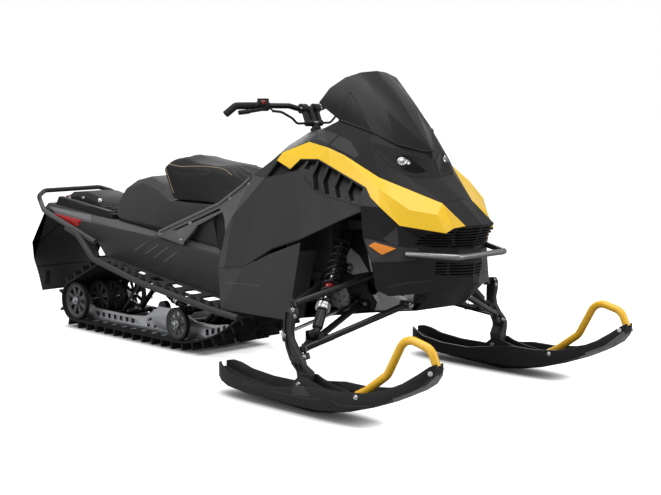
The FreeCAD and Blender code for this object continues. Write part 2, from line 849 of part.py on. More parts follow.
def make_struts():
    body = new_body("frame_struts")
    outline = [(-453, 499), (-255, 470), (-178, 530), (-143, 566), (9, 630), (22, 600), (36, 470), (70, 400)]
    outline += [(118, 420), (96, 600), (96, 640), (190, 712), (222, 772), (196, 787)]
    outline += [(137, 748), (34, 690), (0, 671), (-410, 522)]
    sketch = new_sketch(body, "plate_outline", "XZ_Plane", FLANK_SEAT)
    draw_outline(sketch, outline)
    draw_outline(sketch, [(-326, 527), (-300, 529), (0, 636), (-10, 643)])
    plate = pad(body, "plate", sketch, "Dimensions.strut_thickness")
    flange_line = [(-410, 522), (0, 671), (137, 748), (196, 787)]
    flange_line += [(196, 777), (137, 738), (0, 661), (-410, 512)]
    flange_sketch = new_sketch(body, "flange_outline", "XZ_Plane", FLANK_SEAT)
    draw_outline(flange_sketch, flange_line)
    flange = pad(body, "flange", flange_sketch, "Dimensions.strut_thickness + Dimensions.strut_flange")
    spacer_sketch = new_sketch(body, "spacer_outlines", "XZ_Plane", FLANK_SEAT)
    for x in (-405, -275):
        rest = GAP - 0.34 * SHOULDER_DOWN
        draw_outline(spacer_sketch, [
            (x - 14, tunnel_top(x - 14) + rest),
            (x + 14, tunnel_top(x + 14) + rest),
            (x + 14, tunnel_top(x) + 12),
            (x - 14, tunnel_top(x) + 12),
        ])
    spacers = pad(body, "spacers", spacer_sketch, "Dimensions.shoulder_out * 0.66", reverse=True)
    mirror_across(body, "both_struts", [plate, flange, spacers])
    return finish_body(body)


make_struts()


# Body panels: named corners of one faceted shell as (forward, half width, height)

CORNERS = {
    "knee_top": (230, 240, 794),
    "stripe_tail": (403, 240, 890),
    "stripe_top2": (540, 230, 934),
    "stripe_top3": (672, 256, 916.7),
    "stripe_top4": (748, 251, 892.9),
    "stripe_top5": (890, 212, 814.8),
    "stripe_top6": (1084, 83, 724.7),
    "stripe_tip": (1192, 79, 648.9),
    "stripe_low1": (389, 260, 858),
    "stripe_low2": (487, 280, 830),
    "stripe_low3": (535, 270, 870),
    "stripe_low4": (637, 276, 873.7),
    "stripe_low5": (710, 285, 851.1),
    "stripe_notch1": (882, 272, 780.8),
    "stripe_notch2": (917, 285, 747),
    "stripe_low6": (968, 288, 714.7),
    "stripe_low7": (1027, 248, 650),
    "stripe_low8": (1146, 134, 623.2),
    "stripe_low9": (1150, 96, 638.6),
    "crease2": (926, 255, 780.2),
    "crease3": (1037, 205, 705),
    "crease4": (1107, 136, 687.4),
    "side_top1": (364, 300, 791),
    "side_top2": (576, 330, 829),
    "side_top3": (688, 346, 759.5),
    "side_top4": (774, 348, 741.5),
    "side_top5": (908, 324, 719.5),
    "side_nose": (909, 324, 697.2),
    "side_low1": (200, 370, 435),
    "side_low2": (330, 390, 445),
    "side_low3": (507, 400, 532),
    "side_low4": (665, 396, 582.3),
    "side_low5": (840, 358, 663.8),
    "seam3": (507, 400, 517),
    "seam4": (665, 396, 572.3),
    "side_rear": (205, 330, 634),
    "knee_mid": (114, 290, 569),
    "knee_low": (136, 350, 423),
    "toe_low": (176, 372, 262),
    "toe_mid": (306, 376, 264.5),
    "belly1": (306, 221, 262),
    "belly2": (378, 221, 262),
    "belly0": (378, 0, 262),
    "belly3": (585, 0, 270),
    "belly4": (800, 0, 300),
    "sill_front": (586, 388, 270),
    "bay_low": (614, 390, 356),
    "bay_high": (659, 395, 537),
    "bay_in_low": (585, 300, 270),
    "bay_in_mid": (606, 300, 356),
    "bay_in_high": (650, 300, 537),
    "well_top": (96, 232, 794),
    "pan_top1": (917, 324, 608.3),
    "pan_mid1": (958, 324, 519.4),
    "pan_low1": (974, 314, 421.5),
    "pan_low2": (1007, 280, 397.4),
    "pan_low3": (1083, 146, 404),
    "pan_low4": (1117, 102, 412.4),
    "pan_low5": (1146, 52, 430.5),
    "pan_top2": (1024, 242, 584.9),
    "pan_top3": (1083, 132, 566.5),
    "pan_top4": (1143, 62, 556.7),
    "pan_mid2": (1024, 242, 520.2),
    "pan_mid3": (1108, 108, 518.2),
    "pan_mid4": (1156, 55, 514.1),
    "keel1": (1000, 130, 326.5),
    "keel2": (1058, 72, 338.3),
    "keel3": (800, 170, 300),
    "console1": (400, 100, 962),
    "console2": (340, 150, 912),
    "console3": (292, 200, 850),
    "dash": (560, 170, 985),
    "screen1": (682, 212, 1016.7),
    "screen2": (811, 167, 973),
    "screen3": (874, 104, 927.7),
    "screen4": (936, 28, 902.8),
    "brow1": (815, 192, 939.8),
    "brow2": (902, 114, 909.5),
    "brow3": (961, 12, 869.4),
    "lamp1": (893, 171, 865.2),
    "lamp2": (954, 126, 816.8),
    "lamp3": (985, 16, 808.8),
    "screen5": (960, 0, 902.4),
    "brow0": (961, 0, 870.3),
    "lamp0": (986, 0, 810),
    "nose_top": (1099, 0, 733.6),
    "nose_tip": (1203, 0, 650),
    "pan_top0": (1158, 0, 556),
    "pan_mid0": (1168, 0, 513),
    "pan_low0": (1160, 0, 434),
    "keel0": (1072, 0, 340),
    "dash0": (560, 0, 985),
    "console0": (395, 0, 968),
    "console5": (300, 0, 905),
    "console6": (120, 0, 800),
    "screen_wing": (603, 240, 1078),
    "screen_top3": (620, 200, 1132),
    "screen_top2": (643, 140, 1172),
    "screen_top1": (656, 70, 1191),
    "screen_top0": (671, 0, 1197),
    "screen_apex": (676, 148, 1132.8),
    "screen_mid": (801, 85, 1051.4),
    "screen_mid0": (832, 0, 1044.7),
}
SPINE_FRONT = 850
SPINE_HEIGHT = 600


def shell_points(side, wall):
    """Outer corners and the matching inner ones, drawn in towards the body's spine."""
    outer = {}
    inner = {}
    for name, (x, y, z) in CORNERS.items():
        spot = V(x, side * y, z)
        spine = V(min(x, SPINE_FRONT), 0, SPINE_HEIGHT)
        outer[name] = spot
        inner[name] = spot + (spine - spot).normalize() * wall
        if name.startswith(("bay_", "sill_")):
            inner[name] = inner[name] - V(wall, 0, 0)
    return outer, inner


def panel(faces, side, wall):
    outer, inner = shell_points(side, wall)
    return facet_solid(outer, inner, [list(face) for face in faces])


def side_pair(faces, wall):
    return Part.makeCompound([panel(faces, LEFT, wall), panel(faces, RIGHT, wall)])


def centre_panel(faces, wall):
    """Both halves of a panel that crosses the middle."""
    halves = [panel(faces, LEFT, wall), panel(faces, RIGHT, wall)]
    return fused(halves)


WALL = size("panel_wall")

SIDE_PANEL = [
    ("side_top1", "side_top2", "side_low3", "side_low2", "side_rear"),
    ("side_rear", "side_low2", "side_low1"),
    ("side_top2", "side_top3", "side_low4", "side_low3"),
    ("side_top3", "side_top4", "side_low5", "side_low4"),
    ("side_top4", "side_top5", "side_nose", "side_low5"),
]
LOWER_PANEL = [
    ("knee_top", "side_top1", "side_rear", "knee_mid"),
    ("knee_mid", "side_rear", "side_low1", "knee_low"),
    ("knee_low", "side_low1", "side_low2", "toe_low"),
    ("side_low2", "seam3", "sill_front", "toe_mid", "toe_low"),
    ("seam3", "seam4", "bay_high", "bay_low", "sill_front"),
    ("sill_front", "bay_low", "bay_in_mid", "bay_in_low"),
    ("bay_low", "bay_high", "bay_in_high", "bay_in_mid"),
]
STRIPE = [
    ("stripe_tail", "stripe_top2", "stripe_low3", "stripe_low2", "stripe_low1"),
    ("stripe_top2", "stripe_top3", "stripe_low4", "stripe_low3"),
    ("stripe_top3", "stripe_top4", "stripe_low5", "stripe_low4"),
    ("stripe_top4", "stripe_top5", "crease2", "stripe_low5"),
    ("stripe_low5", "crease2", "stripe_notch1"),
    ("stripe_notch1", "crease2", "stripe_notch2"),
    ("stripe_notch2", "crease2", "stripe_low6"),
    ("stripe_top5", "stripe_top6", "crease4", "crease3", "crease2"),
    ("crease2", "crease3", "stripe_low7", "stripe_low6"),
    ("crease3", "crease4", "stripe_low8", "stripe_low7"),
    ("crease4", "stripe_low9", "stripe_low8"),
    ("stripe_top6", "stripe_tip", "stripe_low9", "crease4"),
]
VENT = [
    ("knee_top", "stripe_tail", "stripe_low1", "side_top1"),
    ("side_top5", "stripe_notch1", "stripe_notch2", "stripe_low6"),
]
VENT_BAY = [
    ("side_top1", "stripe_low1", "stripe_low2", "side_top2"),
    ("side_top2", "stripe_low2", "stripe_low3"),
    ("side_top2", "stripe_low3", "stripe_low4", "side_top3"),
    ("side_top3", "stripe_low4", "stripe_low5", "side_top4"),
    ("side_top4", "stripe_low5", "stripe_notch1", "side_top5"),
]
BAY_UPPER = ["stripe_low3", "stripe_low4", "stripe_low5", "stripe_notch1"]
BAY_LOWER = ["side_top2", "side_top3", "side_top4", "side_top5"]
BAY_DEPTH = 17
HOOD = [
    ("knee_top", "console3", "stripe_tail"),
    ("console3", "console2", "stripe_tail"),
    ("console2", "console1", "stripe_top2", "stripe_tail"),
    ("console1", "dash", "stripe_top2"),
    ("dash", "screen1", "stripe_top3", "stripe_top2"),
    ("screen1", "screen2", "stripe_top4", "stripe_top3"),
    ("screen2", "brow1", "stripe_top5", "stripe_top4"),
    ("screen2", "screen3", "brow2", "brow1"),
    ("screen3", "screen4", "brow3", "brow2"),
    ("screen4", "screen5", "brow0", "brow3"),
    ("brow1", "lamp1", "stripe_top5"),
    ("lamp1", "lamp2", "stripe_top5"),
    ("lamp2", "stripe_top6", "stripe_top5"),
    ("lamp2", "lamp3", "stripe_top6"),
    ("lamp3", "lamp0", "nose_top", "stripe_top6"),
    ("brow3", "brow0", "lamp0", "lamp3"),
    ("console0", "dash0", "dash", "console1"),
    ("dash0", "screen5", "screen4", "screen3", "screen2", "screen1", "dash"),
    ("console5", "console0", "console1", "console2"),
    ("console6", "console5", "console2", "console3"),
    ("console6", "console3", "knee_top"),
]
NOSE_PANEL = [("stripe_top6", "nose_top", "nose_tip", "stripe_tip")]
NOSE_PAN = [
    ("side_top5", "stripe_low6", "pan_top2", "side_nose"),
    ("side_nose", "pan_top2", "pan_top1"),
    ("stripe_low6", "stripe_low7", "pan_top2"),
    ("stripe_low7", "stripe_low8", "pan_top3", "pan_top2"),
    ("stripe_low8", "stripe_low9", "pan_top4", "pan_top3"),
    ("stripe_low9", "stripe_tip", "pan_top4"),
    ("stripe_tip", "nose_tip", "pan_top0", "pan_top4"),
    ("pan_top2", "pan_mid2", "pan_mid1", "pan_top1"),
    ("pan_top2", "pan_top3", "pan_mid3", "pan_mid2"),
    ("pan_top3", "pan_top4", "pan_mid4", "pan_mid3"),
    ("pan_top4", "pan_top0", "pan_mid0", "pan_mid4"),
    ("pan_mid1", "pan_mid2", "pan_low2", "pan_low1"),
    ("pan_mid2", "pan_mid3", "pan_low3", "pan_low2"),
    ("pan_mid3", "pan_mid4", "pan_low5", "pan_low4", "pan_low3"),
    ("pan_mid4", "pan_mid0", "pan_low0", "pan_low5"),
    ("pan_low3", "pan_low4", "keel2", "keel1"),
    ("pan_low4", "pan_low5", "keel2"),
    ("pan_low5", "pan_low0", "keel0", "keel2"),
]
BELLY = [
    ("toe_mid", "sill_front", "bay_in_low", "belly2", "belly1"),
    ("belly2", "bay_in_low", "belly3", "belly0"),
    ("bay_in_low", "keel3", "belly4", "belly3"),
    ("keel3", "keel1", "keel2", "keel0", "belly4"),
]
LAMP = [("brow1", "brow2", "lamp2", "lamp1"), ("brow2", "brow3", "lamp3", "lamp2")]
SCREEN = [
    ("screen_wing", "screen_apex", "screen1"),
    ("screen_wing", "screen_top3", "screen_apex"),
    ("screen_top3", "screen_top2", "screen_apex"),
    ("screen1", "screen_apex", "screen2"),
    ("screen_apex", "screen_mid", "screen3", "screen2"),
    ("screen_apex", "screen_top2", "screen_top1", "screen_mid"),
    ("screen_mid", "screen_mid0", "screen5", "screen4", "screen3"),
    ("screen_top1", "screen_top0", "screen_mid0", "screen_mid"),
]

add("side_panels", side_pair(SIDE_PANEL, WALL))
add("lower_panels", side_pair(LOWER_PANEL, WALL))
add("hood_stripes", side_pair(STRIPE, WALL))


def towards_spine(spot, depth):
    """A point sunk below the shell, on the line to the body's spine."""
    spine = V(min(spot.x, SPINE_FRONT), 0, SPINE_HEIGHT)
    return spot + (spine - spot).normalize() * depth


def along_names(names, x):
    """A point at station x on the line through named corners, on the left side."""
    line = [V(*CORNERS[name]) for name in names]
    for a, b in zip(line, line[1:]):
        if x <= b.x or b == line[-1]:
            return a + (b - a) * ((x - a.x) / (b.x - a.x))


def make_vent():
    """Left intake: a sunk tray with bent fins, closed round by flat panels."""
    names = sorted({name for face in VENT_BAY for name in face})
    outer = {}
    inner = {}
    lid = {}
    floor = {}
    for name in names:
        spot = V(*CORNERS[name])
        shift = V(0, 0, -6) if name.startswith("stripe") else V(0, 0, 6)
        if name in ("side_top1", "stripe_low1"):
            shift = V(9, 0, shift.z)
        if name in ("side_top5", "stripe_notch1"):
            shift = V(-9, 0, shift.z)
        seat = spot + shift * (GAP / 4)
        outer[name] = seat
        inner[name] = towards_spine(seat, BAY_DEPTH + 5)
        lid[name] = towards_spine(spot + shift, -6)
        floor[name] = towards_spine(spot + shift, BAY_DEPTH)
    faces = [list(face) for face in VENT_BAY]
    tray = facet_solid(outer, inner, faces).cut(facet_solid(lid, floor, faces))
    fins = []
    for k in range(6):
        x = 572 + 60 * k
        top = along_names(BAY_UPPER, x)
        low = along_names(BAY_LOWER, x + 42)
        middle = (top + low) * 0.5 + V(-20, 4, -4)
        line = [top, middle, low]
        ahead = [spot + V(11, 0, -4) for spot in line]
        crest = {}
        root = {}
        for tag, row in (("a", line), ("b", ahead)):
            for place, spot in enumerate(row):
                crest["%s%d" % (tag, place)] = towards_spine(spot, 2.5)
                root["%s%d" % (tag, place)] = towards_spine(spot, BAY_DEPTH + 2)
        fins.append(facet_solid(crest, root, [["a0", "b0", "b1", "a1"], ["a1", "b1", "b2", "a2"]]))
    return fused([tray] + fins)


around_bay = [panel(faces, LEFT, WALL) for faces in (SIDE_PANEL, STRIPE, NOSE_PAN)]
vent_bay = max(make_vent().cut(around_bay).Solids, key=lambda piece: piece.Volume)
flat_vents = []
for side in (LEFT, RIGHT):
    pan_side = panel(NOSE_PAN, side, WALL)
    flat_vents += [panel([face], side, WALL).cut(pan_side) for face in VENT]
add("intake_vents", Part.makeCompound([vent_bay, mirrored(vent_bay)] + flat_vents))
add("headlamps", side_pair(LAMP, WALL))
STEER_FOOT = V(328, 0, 985)
STEER_TOP = V(294, 0, 1062)
STEER = (STEER_TOP - STEER_FOOT).normalize()
POST = 13
collar = Part.makeCylinder(POST + 9, 62, STEER_FOOT - STEER * 72, STEER)
post_hole = Part.makeCylinder(POST + GAP, 200, STEER_FOOT - STEER * 100, STEER)
add("hood", fused([centre_panel(HOOD, WALL), collar]).cut(post_hole))
add("nose_panel", centre_panel(NOSE_PANEL, WALL))
UPPER_GRILLE = [(0, 562), (150, 571), (194, 583), (168, 622), (122, 637), (78, 643), (0, 644)]
LOWER_GRILLE = [(0, 458), (44, 459), (132, 470), (128, 516), (60, 509), (0, 507)]
SLAT_PITCH = 10.5
SLAT = 5


def grille_window(outline, shrink):
    """The opening of a grille as seen from the front, run through the nose."""
    right = [(-y, z) for y, z in reversed(outline) if y > 0]
    face = Part.Face(polygon([V(900, y, z) for y, z in outline + right]))
    if shrink:
        face = Part.Face(face.Wires[0].makeOffset2D(-shrink))
    return face.extrude(V(400, 0, 0))


def make_grilles():
    skin = centre_panel(NOSE_PAN, 20)
    made = []
    for outline in (UPPER_GRILLE, LOWER_GRILLE):
        window = grille_window(outline, GAP)
        low = min(z for y, z in outline)
        high = max(z for y, z in outline)
        bars = []
        height = low + 3
        while height < high:
            bars.append(Part.makeBox(400, 460, SLAT, V(900, -230, height)))
            height += SLAT_PITCH
        for y in (-90, 0, 90):
            bars.append(Part.makeBox(400, 6, high - low, V(900, y - 3, low)))
        grid = window.common(fused(bars))
        made.append(max(skin.common(grid).Solids, key=lambda piece: piece.Volume))
    return Part.makeCompound(made)


nose = centre_panel(NOSE_PAN, WALL)
for outline in (UPPER_GRILLE, LOWER_GRILLE):
    nose = nose.cut(grille_window(outline, 0))
add("nose_pan", nose)
add("nose_grilles", make_grilles())
belly = centre_panel(BELLY, WALL)
add("belly_pan", belly)


def make_screen():
    lifted = {}
    wall = size("screen_wall")
    for name, spot in CORNERS.items():
        lifted[name] = spot
    halves = []
    for side in (LEFT, RIGHT):
        outer, inner = shell_points(side, wall)
        lift = V(0, 0, wall + GAP)
        outer = {name: p + lift for name, p in outer.items()}
        inner = {name: p + lift for name, p in inner.items()}
        halves.append(facet_solid(outer, inner, [list(f) for f in SCREEN]))
    return fused(halves)


add("windshield", make_screen())

# Front bumper: a bright flat bar across the nose

bumper_line = [V(1033, 222, 547), V(1203, 131, 542)]
far_line = [V(p.x, -p.y, p.z) for p in reversed(bumper_line)]
bumper = bent_tube(bumper_line + far_line, 11, 30).cut(nose)
add("front_bumper", max(bumper.Solids, key=lambda piece: piece.Volume))


# Side reflectors on the nose pan

def make_side_reflector():
    out = V(0.612, 0.737, 0.285)
    spots = [V(939.3, 315.7, 576.7), V(952.7, 300.2, 588.8), V(1017.5, 255.3, 568.0), V(982.6, 292.4, 545.4)]
    first = Part.Face(polygon([p + out * GAP for p in (spots[0], spots[1], spots[2])]))
    other = Part.Face(polygon([p + out * GAP for p in (spots[0], spots[2], spots[3])]))
    return fused([first.extrude(out * 4), other.extrude(out * 4)])


side_reflector = max(make_side_reflector().cut(nose).Solids, key=lambda piece: piece.Volume)
add("side_reflectors", both_sides(side_reflector))


# Engine: one plain block at its real place and size

engine = doc.addObject("Part::Box", "engine")
engine.Label = "engine"
engine.setExpression("Length", "Dimensions.engine_length")
engine.setExpression("Width", "Dimensions.engine_width")
engine.setExpression("Height", "Dimensions.engine_height")
engine.Placement = FreeCAD.Placement(V(384, -size("engine_width") / 2, 430 + GAP), FreeCAD.Rotation())
doc.recompute()
nodes.append(engine)


# Bulkhead: cast side plates with lightening holes, joined across

LIGHTENING = ((800, 400, 34), (890, 430, 30), (820, 520, 40), (950, 400, 22), (540, 365, 34), (450, 365, 34))


def make_bulkhead():
    half = size("bulkhead_width") / 2
    plate = size("bulkhead_plate")
    outline = [(378, 300), (610, 300), (640, 281), (800, 303), (990, 331.5), (1020, 430)]
    outline += [(940, 560), (760, 640), (672, 640), (662, 430), (378, 430)]
    pieces = []
    window = [(668, 300), (740, 308), (740, 362), (668, 362)]
    for low in (-half, half - plate):
        side = side_prism(outline, low, low + plate)
        side = side.cut(side_prism(window, low - 1, low + plate + 1))
        for x, z, r in LIGHTENING:
            side = side.cut(rod(V(x, low - 1, z), V(x, low + plate + 1, z), r))
        pieces.append(side)
    for x in (700, 930):
        pieces.append(Part.makeBox(plate, 2 * half, 60, V(x, -half, 480)))
    pieces.append(Part.makeBox(240, 2 * half, plate, V(740, -half, 340)))
    for side in (-1, 1):
        pieces.append(rod(V(703, side * (half - 2), 590), V(703, side * 232, 590), 10))
    return fused(pieces).cut(belly)


add("bulkhead", make_bulkhead())


# Front suspension: two wishbones and a coil-over each side

KING_TOP = V(777, 535, 372)
KING_LOW = V(834.2, 535, 217.9)
KING = V(KING_TOP.x - KING_LOW.x, 0, KING_TOP.z - KING_LOW.z).normalize()
EYE = size("eye_radius")
BORE = size("stud_radius") + size("stud_clearance")


def wishbone(ball, front_foot, rear_foot, radius):
    eye = Part.makeCylinder(EYE, size("eye_height"), ball - KING * (size("eye_height") / 2), KING)
    pieces = [eye]
    for foot in (front_foot, rear_foot):
        pieces.append(rod(ball, foot, radius))
        pieces.append(rod(foot - V(22, 0, 0), foot + V(22, 0, 0), radius + 3))
    arm = fused(pieces)
    hole = Part.makeCylinder(BORE, 200, ball - KING * 100, KING)
    return arm.cut(hole)


HALF_BULKHEAD = size("bulkhead_width") / 2
ARM = size("arm_radius")
LOW_FRONT = V(985, HALF_BULKHEAD + ARM + 3 + GAP, 352)
LOW_REAR = V(756, HALF_BULKHEAD + ARM + 3 + GAP, 332)
TOP_FRONT = V(880, HALF_BULKHEAD + ARM + 3 + GAP, 470)
TOP_REAR = V(672, HALF_BULKHEAD + ARM + 3 + GAP, 462)
SHOCK_LOW = V(830, 476, 262)
SHOCK_TOP = V(703, 205, 590)


def make_lower_arm():
    arm = wishbone(KING_LOW, LOW_FRONT, LOW_REAR, ARM)
    tab = rod(SHOCK_LOW - V(36, 0, 0), SHOCK_LOW + V(33, 0, 0), 9)
    webs = [Part.makeBox(7, 26, 36, V(x, 463, 236)) for x in (792, 856)]
    return fused([arm, tab] + webs)


def lower_plate():
    """Gusset that ties the two legs of the lower wishbone near the ball joint."""
    corners = [V(808, 513, 217), V(852, 513, 217), V(880, 430, 243), V(772, 430, 243)]
    return Part.Face(polygon(corners)).extrude(V(0, 0, 16))


lower_wishbone = fused([make_lower_arm(), lower_plate()])
upper_wishbone = wishbone(KING_TOP, TOP_FRONT, TOP_REAR, ARM - 1)
add("wishbones", both_sides(Part.makeCompound([lower_wishbone, upper_wishbone])))


def make_shock():
    along = (SHOCK_TOP - SHOCK_LOW).normalize()
    low_eye = SHOCK_LOW + along * 10
    pieces = [
        rod(SHOCK_LOW + along * 2, SHOCK_TOP - along * 2, 9),
        rod(SHOCK_LOW + along * 12, SHOCK_LOW + along * 120, 22),
        rod(SHOCK_LOW + along * 116, SHOCK_TOP - along * 40, size("coil_radius")),
        rod(SHOCK_TOP - along * 44, SHOCK_TOP - along * 14, 20),
    ]
    body = fused(pieces)
    low_hole = rod(SHOCK_LOW - V(40, 0, 0), SHOCK_LOW + V(40, 0, 0), 9 + GAP)
    top_hole = rod(SHOCK_TOP - V(0, 40, 0), SHOCK_TOP + V(0, 40, 0), 10 + GAP)
    top_eye = ring(SHOCK_TOP, V(0, 1, 0), 20, 10 + GAP, 24)
    return fused([body.cut(low_hole).cut(top_hole), top_eye])


front_shock = make_shock()
add("shocks", Part.makeCompound([front_shock, mirrored(front_shock)] + make_rear_shocks()))


# Steering side: spindle, tie rod, ski and its loop

TIE_OUT = V(700, 508, 250)
TIE_IN = V(690, 120, 322)
SADDLE = V(851, SKI_Y, 97)


COLUMN_LOW = 556
COLUMN_HIGH = 576
COLUMN = [(774, 360), (769, 320), (768, 262), (783, 216), (804, 176), (862, 176), (857, 200)]
COLUMN += [(834, 222), (811, 253), (806, 282), (813, 311), (815, 345), (804, 364)]
UPPER_POCKET = [(783, 350), (777, 318), (776, 264), (791, 221), (806, 196), (846, 196), (828, 214)]
UPPER_POCKET += [(803, 249), (797, 282), (804, 312), (805, 345)]


def make_column():
    """The upright: an I-section blade that runs down into the foot between the ski's cheeks."""
    blade = side_prism(COLUMN, COLUMN_LOW, COLUMN_HIGH)
    for face in (COLUMN_LOW - 1, COLUMN_HIGH - 7):
        blade = blade.cut(side_prism(UPPER_POCKET, face, face + 8))
    rings = []
    for x_rear, x_front, low, high, z in (
        (803, 863, COLUMN_LOW, COLUMN_HIGH, 190),
        (808, 867, 550, COLUMN_HIGH - 3, 165),
        (818, 874, 522, 558, 138),
        (828, 874, 519, 558, 84),
    ):
        rings.append([V(x_rear, low, z), V(x_front, low, z), V(x_front, high, z), V(x_rear, high, z)])
    foot = ring_solid(rings)
    for x in (829, 849):
        slot = [V(x - 5, 560, 172), V(x + 7, 560, 172), V(x + 15, 560, 122), V(x + 7, 560, 122)]
        foot = foot.cut(Part.Face(polygon(slot)).extrude(V(0, 30, 0)))
    return [blade, foot]


def make_spindle():
    drop = size("boss_drop")
    height = size("eye_height")
    pieces = make_column()
    for ball in (KING_TOP, KING_LOW):
        centre = ball - KING * drop
        pieces.append(Part.makeCylinder(EYE - 1, height, centre - KING * (height / 2), KING))
        reach = COLUMN_LOW - ball.y + 2
        heel = V(centre.x - 10, ball.y, centre.z - height / 2 + 1)
        pieces.append(Part.makeBox(20, reach, height - 6, heel))
        pieces.append(Part.makeCylinder(size("stud_radius"), drop + height / 2 + 8, centre, KING))
    low_ball = TIE_OUT - KING * 18
    pieces.append(rod(V(776, COLUMN_LOW + 8, 248), low_ball, 10))
    pieces.append(Part.makeCylinder(12, 16, low_ball - KING * 8, KING))
    pieces.append(Part.makeCylinder(size("stud_radius"), 38, low_ball, KING))
    bolt = rod(V(SADDLE.x, SKI_Y - 60, SADDLE.z), V(SADDLE.x, SKI_Y + 60, SADDLE.z), 8 + GAP)
    return fused(pieces).cut(bolt)


def make_tie_rod():
    eye = Part.makeCylinder(12, 16, TIE_OUT - KING * 8, KING)
    bar = rod(TIE_OUT, TIE_IN, size("tie_rod_radius"))
    ball = Part.makeSphere(13, TIE_IN)
    hole = Part.makeCylinder(BORE, 80, TIE_OUT - KING * 40, KING)
    return fused([eye, bar, ball]).cut(hole)


SKI_STATIONS = [
    # forward, half width, rim, chine, belly, keel, floor
    (395, 22, 112, 75, 70, 69, 92),
    (410, 38, 114, 62, 55, 55, 80),
    (440, 52, 106, 50, 42, 42, 66),
    (490, 62, 88, 38, 30, 24, 52),
    (600, 68, 76, 30, 24, 11, 42),
    (745, 70, 76, 29, 23, 5, 40),
    (885, 70, 100, 29, 23, 0, 42),
    (980, 70, 112, 31, 26, 12, 46),
    (1080, 70, 112, 44, 38, 33, 60),
    (1190, 70, 124, 74, 68, 66, 92),
    (1290, 68, 150, 110, 104, 103, 130),
    (1370, 62, 186, 146, 141, 140, 165),
    (1425, 50, 222, 178, 172, 172, 200),
    (1460, 34, 250, 212, 206, 206, 232),
    (1475, 20, 258, 232, 228, 228, 245),
]
CHEEK = [(760, 42), (790, 80), (822, 108), (846, 126), (874, 128), (905, 116), (960, 104), (1030, 96)]
CHEEK += [(1058, 62), (1058, 50), (980, 38), (760, 34)]


def ski_ring(station):
    """One channel-shaped cross-section of the ski with a keel under its middle."""
    x, half, rim, chine, belly, keel, floor = station
    thin = size("ski_wall")
    left = [(9, keel), (14, belly), (half, chine), (half, rim), (half - thin, rim), (half - thin, floor)]
    points = [V(x, SKI_Y + y, z) for y, z in left]
    return points + [V(x, SKI_Y - y, z) for y, z in reversed(left)]


def channel_solid(rings):
    """A solid through open-channel sections, closed by a flat face at each end."""
    made = [Part.Face(polygon(rings[0])), Part.Face(polygon(rings[-1]))]
    for one, two in zip(rings, rings[1:]):
        count = len(one)
        for k in range(count):
            n = (k + 1) % count
            made.append(Part.Face(polygon([one[k], one[n], two[n]])))
            made.append(Part.Face(polygon([one[k], two[n], two[k]])))
    solid = Part.Solid(Part.Shell(made))
    if solid.Volume < 0:
        solid.reverse()
    return solid


def make_ski():
    pieces = [channel_solid([ski_ring(station) for station in SKI_STATIONS])]
    fork = 23 + GAP
    for low_side in (fork, -fork - 10):
        pieces.append(side_prism(CHEEK, SKI_Y + low_side, SKI_Y + low_side + 10))
    pieces.append(side_prism([(1080, 50), (1150, 62), (1146, 104), (1084, 84)], SKI_Y - 18, SKI_Y + 18))
    pieces.append(side_prism([(1428, 190), (1470, 230), (1468, 256), (1430, 226)], SKI_Y - 17, SKI_Y + 17))
    pieces.append(rod(V(SADDLE.x, SKI_Y - 40, SADDLE.z), V(SADDLE.x, SKI_Y + 40, SADDLE.z), 8))
    return fused(pieces)


def make_loop():
    line = [(1104, 94), (1150, 118), (1246, 186), (1326, 326), (1440, 300), (1464, 246)]
    return bent_tube([V(x, SKI_Y, z) for x, z in line], size("loop_radius"), 60)


spindle = make_spindle()
ski = make_ski()
loop = make_loop()
ski = max(ski.cut(loop).Solids, key=lambda piece: piece.Volume)
rod_shape = make_tie_rod()
add("spindle_left", spindle)
add("spindle_right", mirrored(spindle))
add("ski_left", ski)
add("ski_right", mirrored(ski))
add("ski_loop_left", loop)
add("ski_loop_right", mirrored(loop))
add("tie_rod_left", rod_shape)
add("tie_rod_right", mirrored(rod_shape))


# Handlebar: riser, bent bar, hooked grips, switch blocks and cables

BAR_LINE = [V(297, 60, 1052), V(294, 108, 1064), V(264, 245, 1066), V(243, 345, 1066)]


def make_handlebar():
    far = [V(p.x, -p.y, p.z) for p in reversed(BAR_LINE)]
    return bent_tube(far + BAR_LINE, size("bar_radius"), 40)


def make_riser():
    pieces = [Part.makeCylinder(13, 150, STEER_FOOT - STEER * 75, STEER)]
    for side in (-1, 1):
        spot = V(0, side * 34, 0)
        pieces.append(rod(STEER_FOOT + spot + STEER * 8, STEER_TOP + spot - STEER * 6, 11))
        pieces.append(ring(V(297, side * 34, 1052), V(0, 1, 0), 20, size("bar_radius") + GAP, 26))
    pieces.append(rod(STEER_FOOT + V(0, -42, 0) + STEER * 10, STEER_FOOT + V(0, 42, 0) + STEER * 10, 13))
    shape = fused(pieces)
    return shape.cut(rod(V(297, -60, 1052), V(297, 60, 1052), size("bar_radius") + GAP))


def make_grip():
    line = [V(262, 252, 1066), V(243, 342, 1066), V(230, 382, 1034)]
    grip = bent_tube(line, size("grip_radius"), 20)
    return grip.cut(bent_tube(BAR_LINE[1:], size("bar_radius"), 40))


def make_controls():
    """Right switch block with its lever; the left one mirrors it."""
    block = rod(V(273, -204, 1065.5), V(265, -242, 1066), 21)
    switches = Part.makeBox(34, 30, 22, V(252, -238, 1072))
    lever = rod(V(290, -215, 1056), V(270, -300, 1044), 7)
    paddle = rod(V(270, -296, 1044.5), V(258, -338, 1040), 9)
    stem = rod(V(270, -222, 1064), V(292, -222, 1055), 10)
    bar = rod(V(294, -108, 1064), V(264, -245, 1066), size("bar_radius") + GAP)
    return both_sides(fused([block, switches, stem, lever, paddle]).cut(bar))


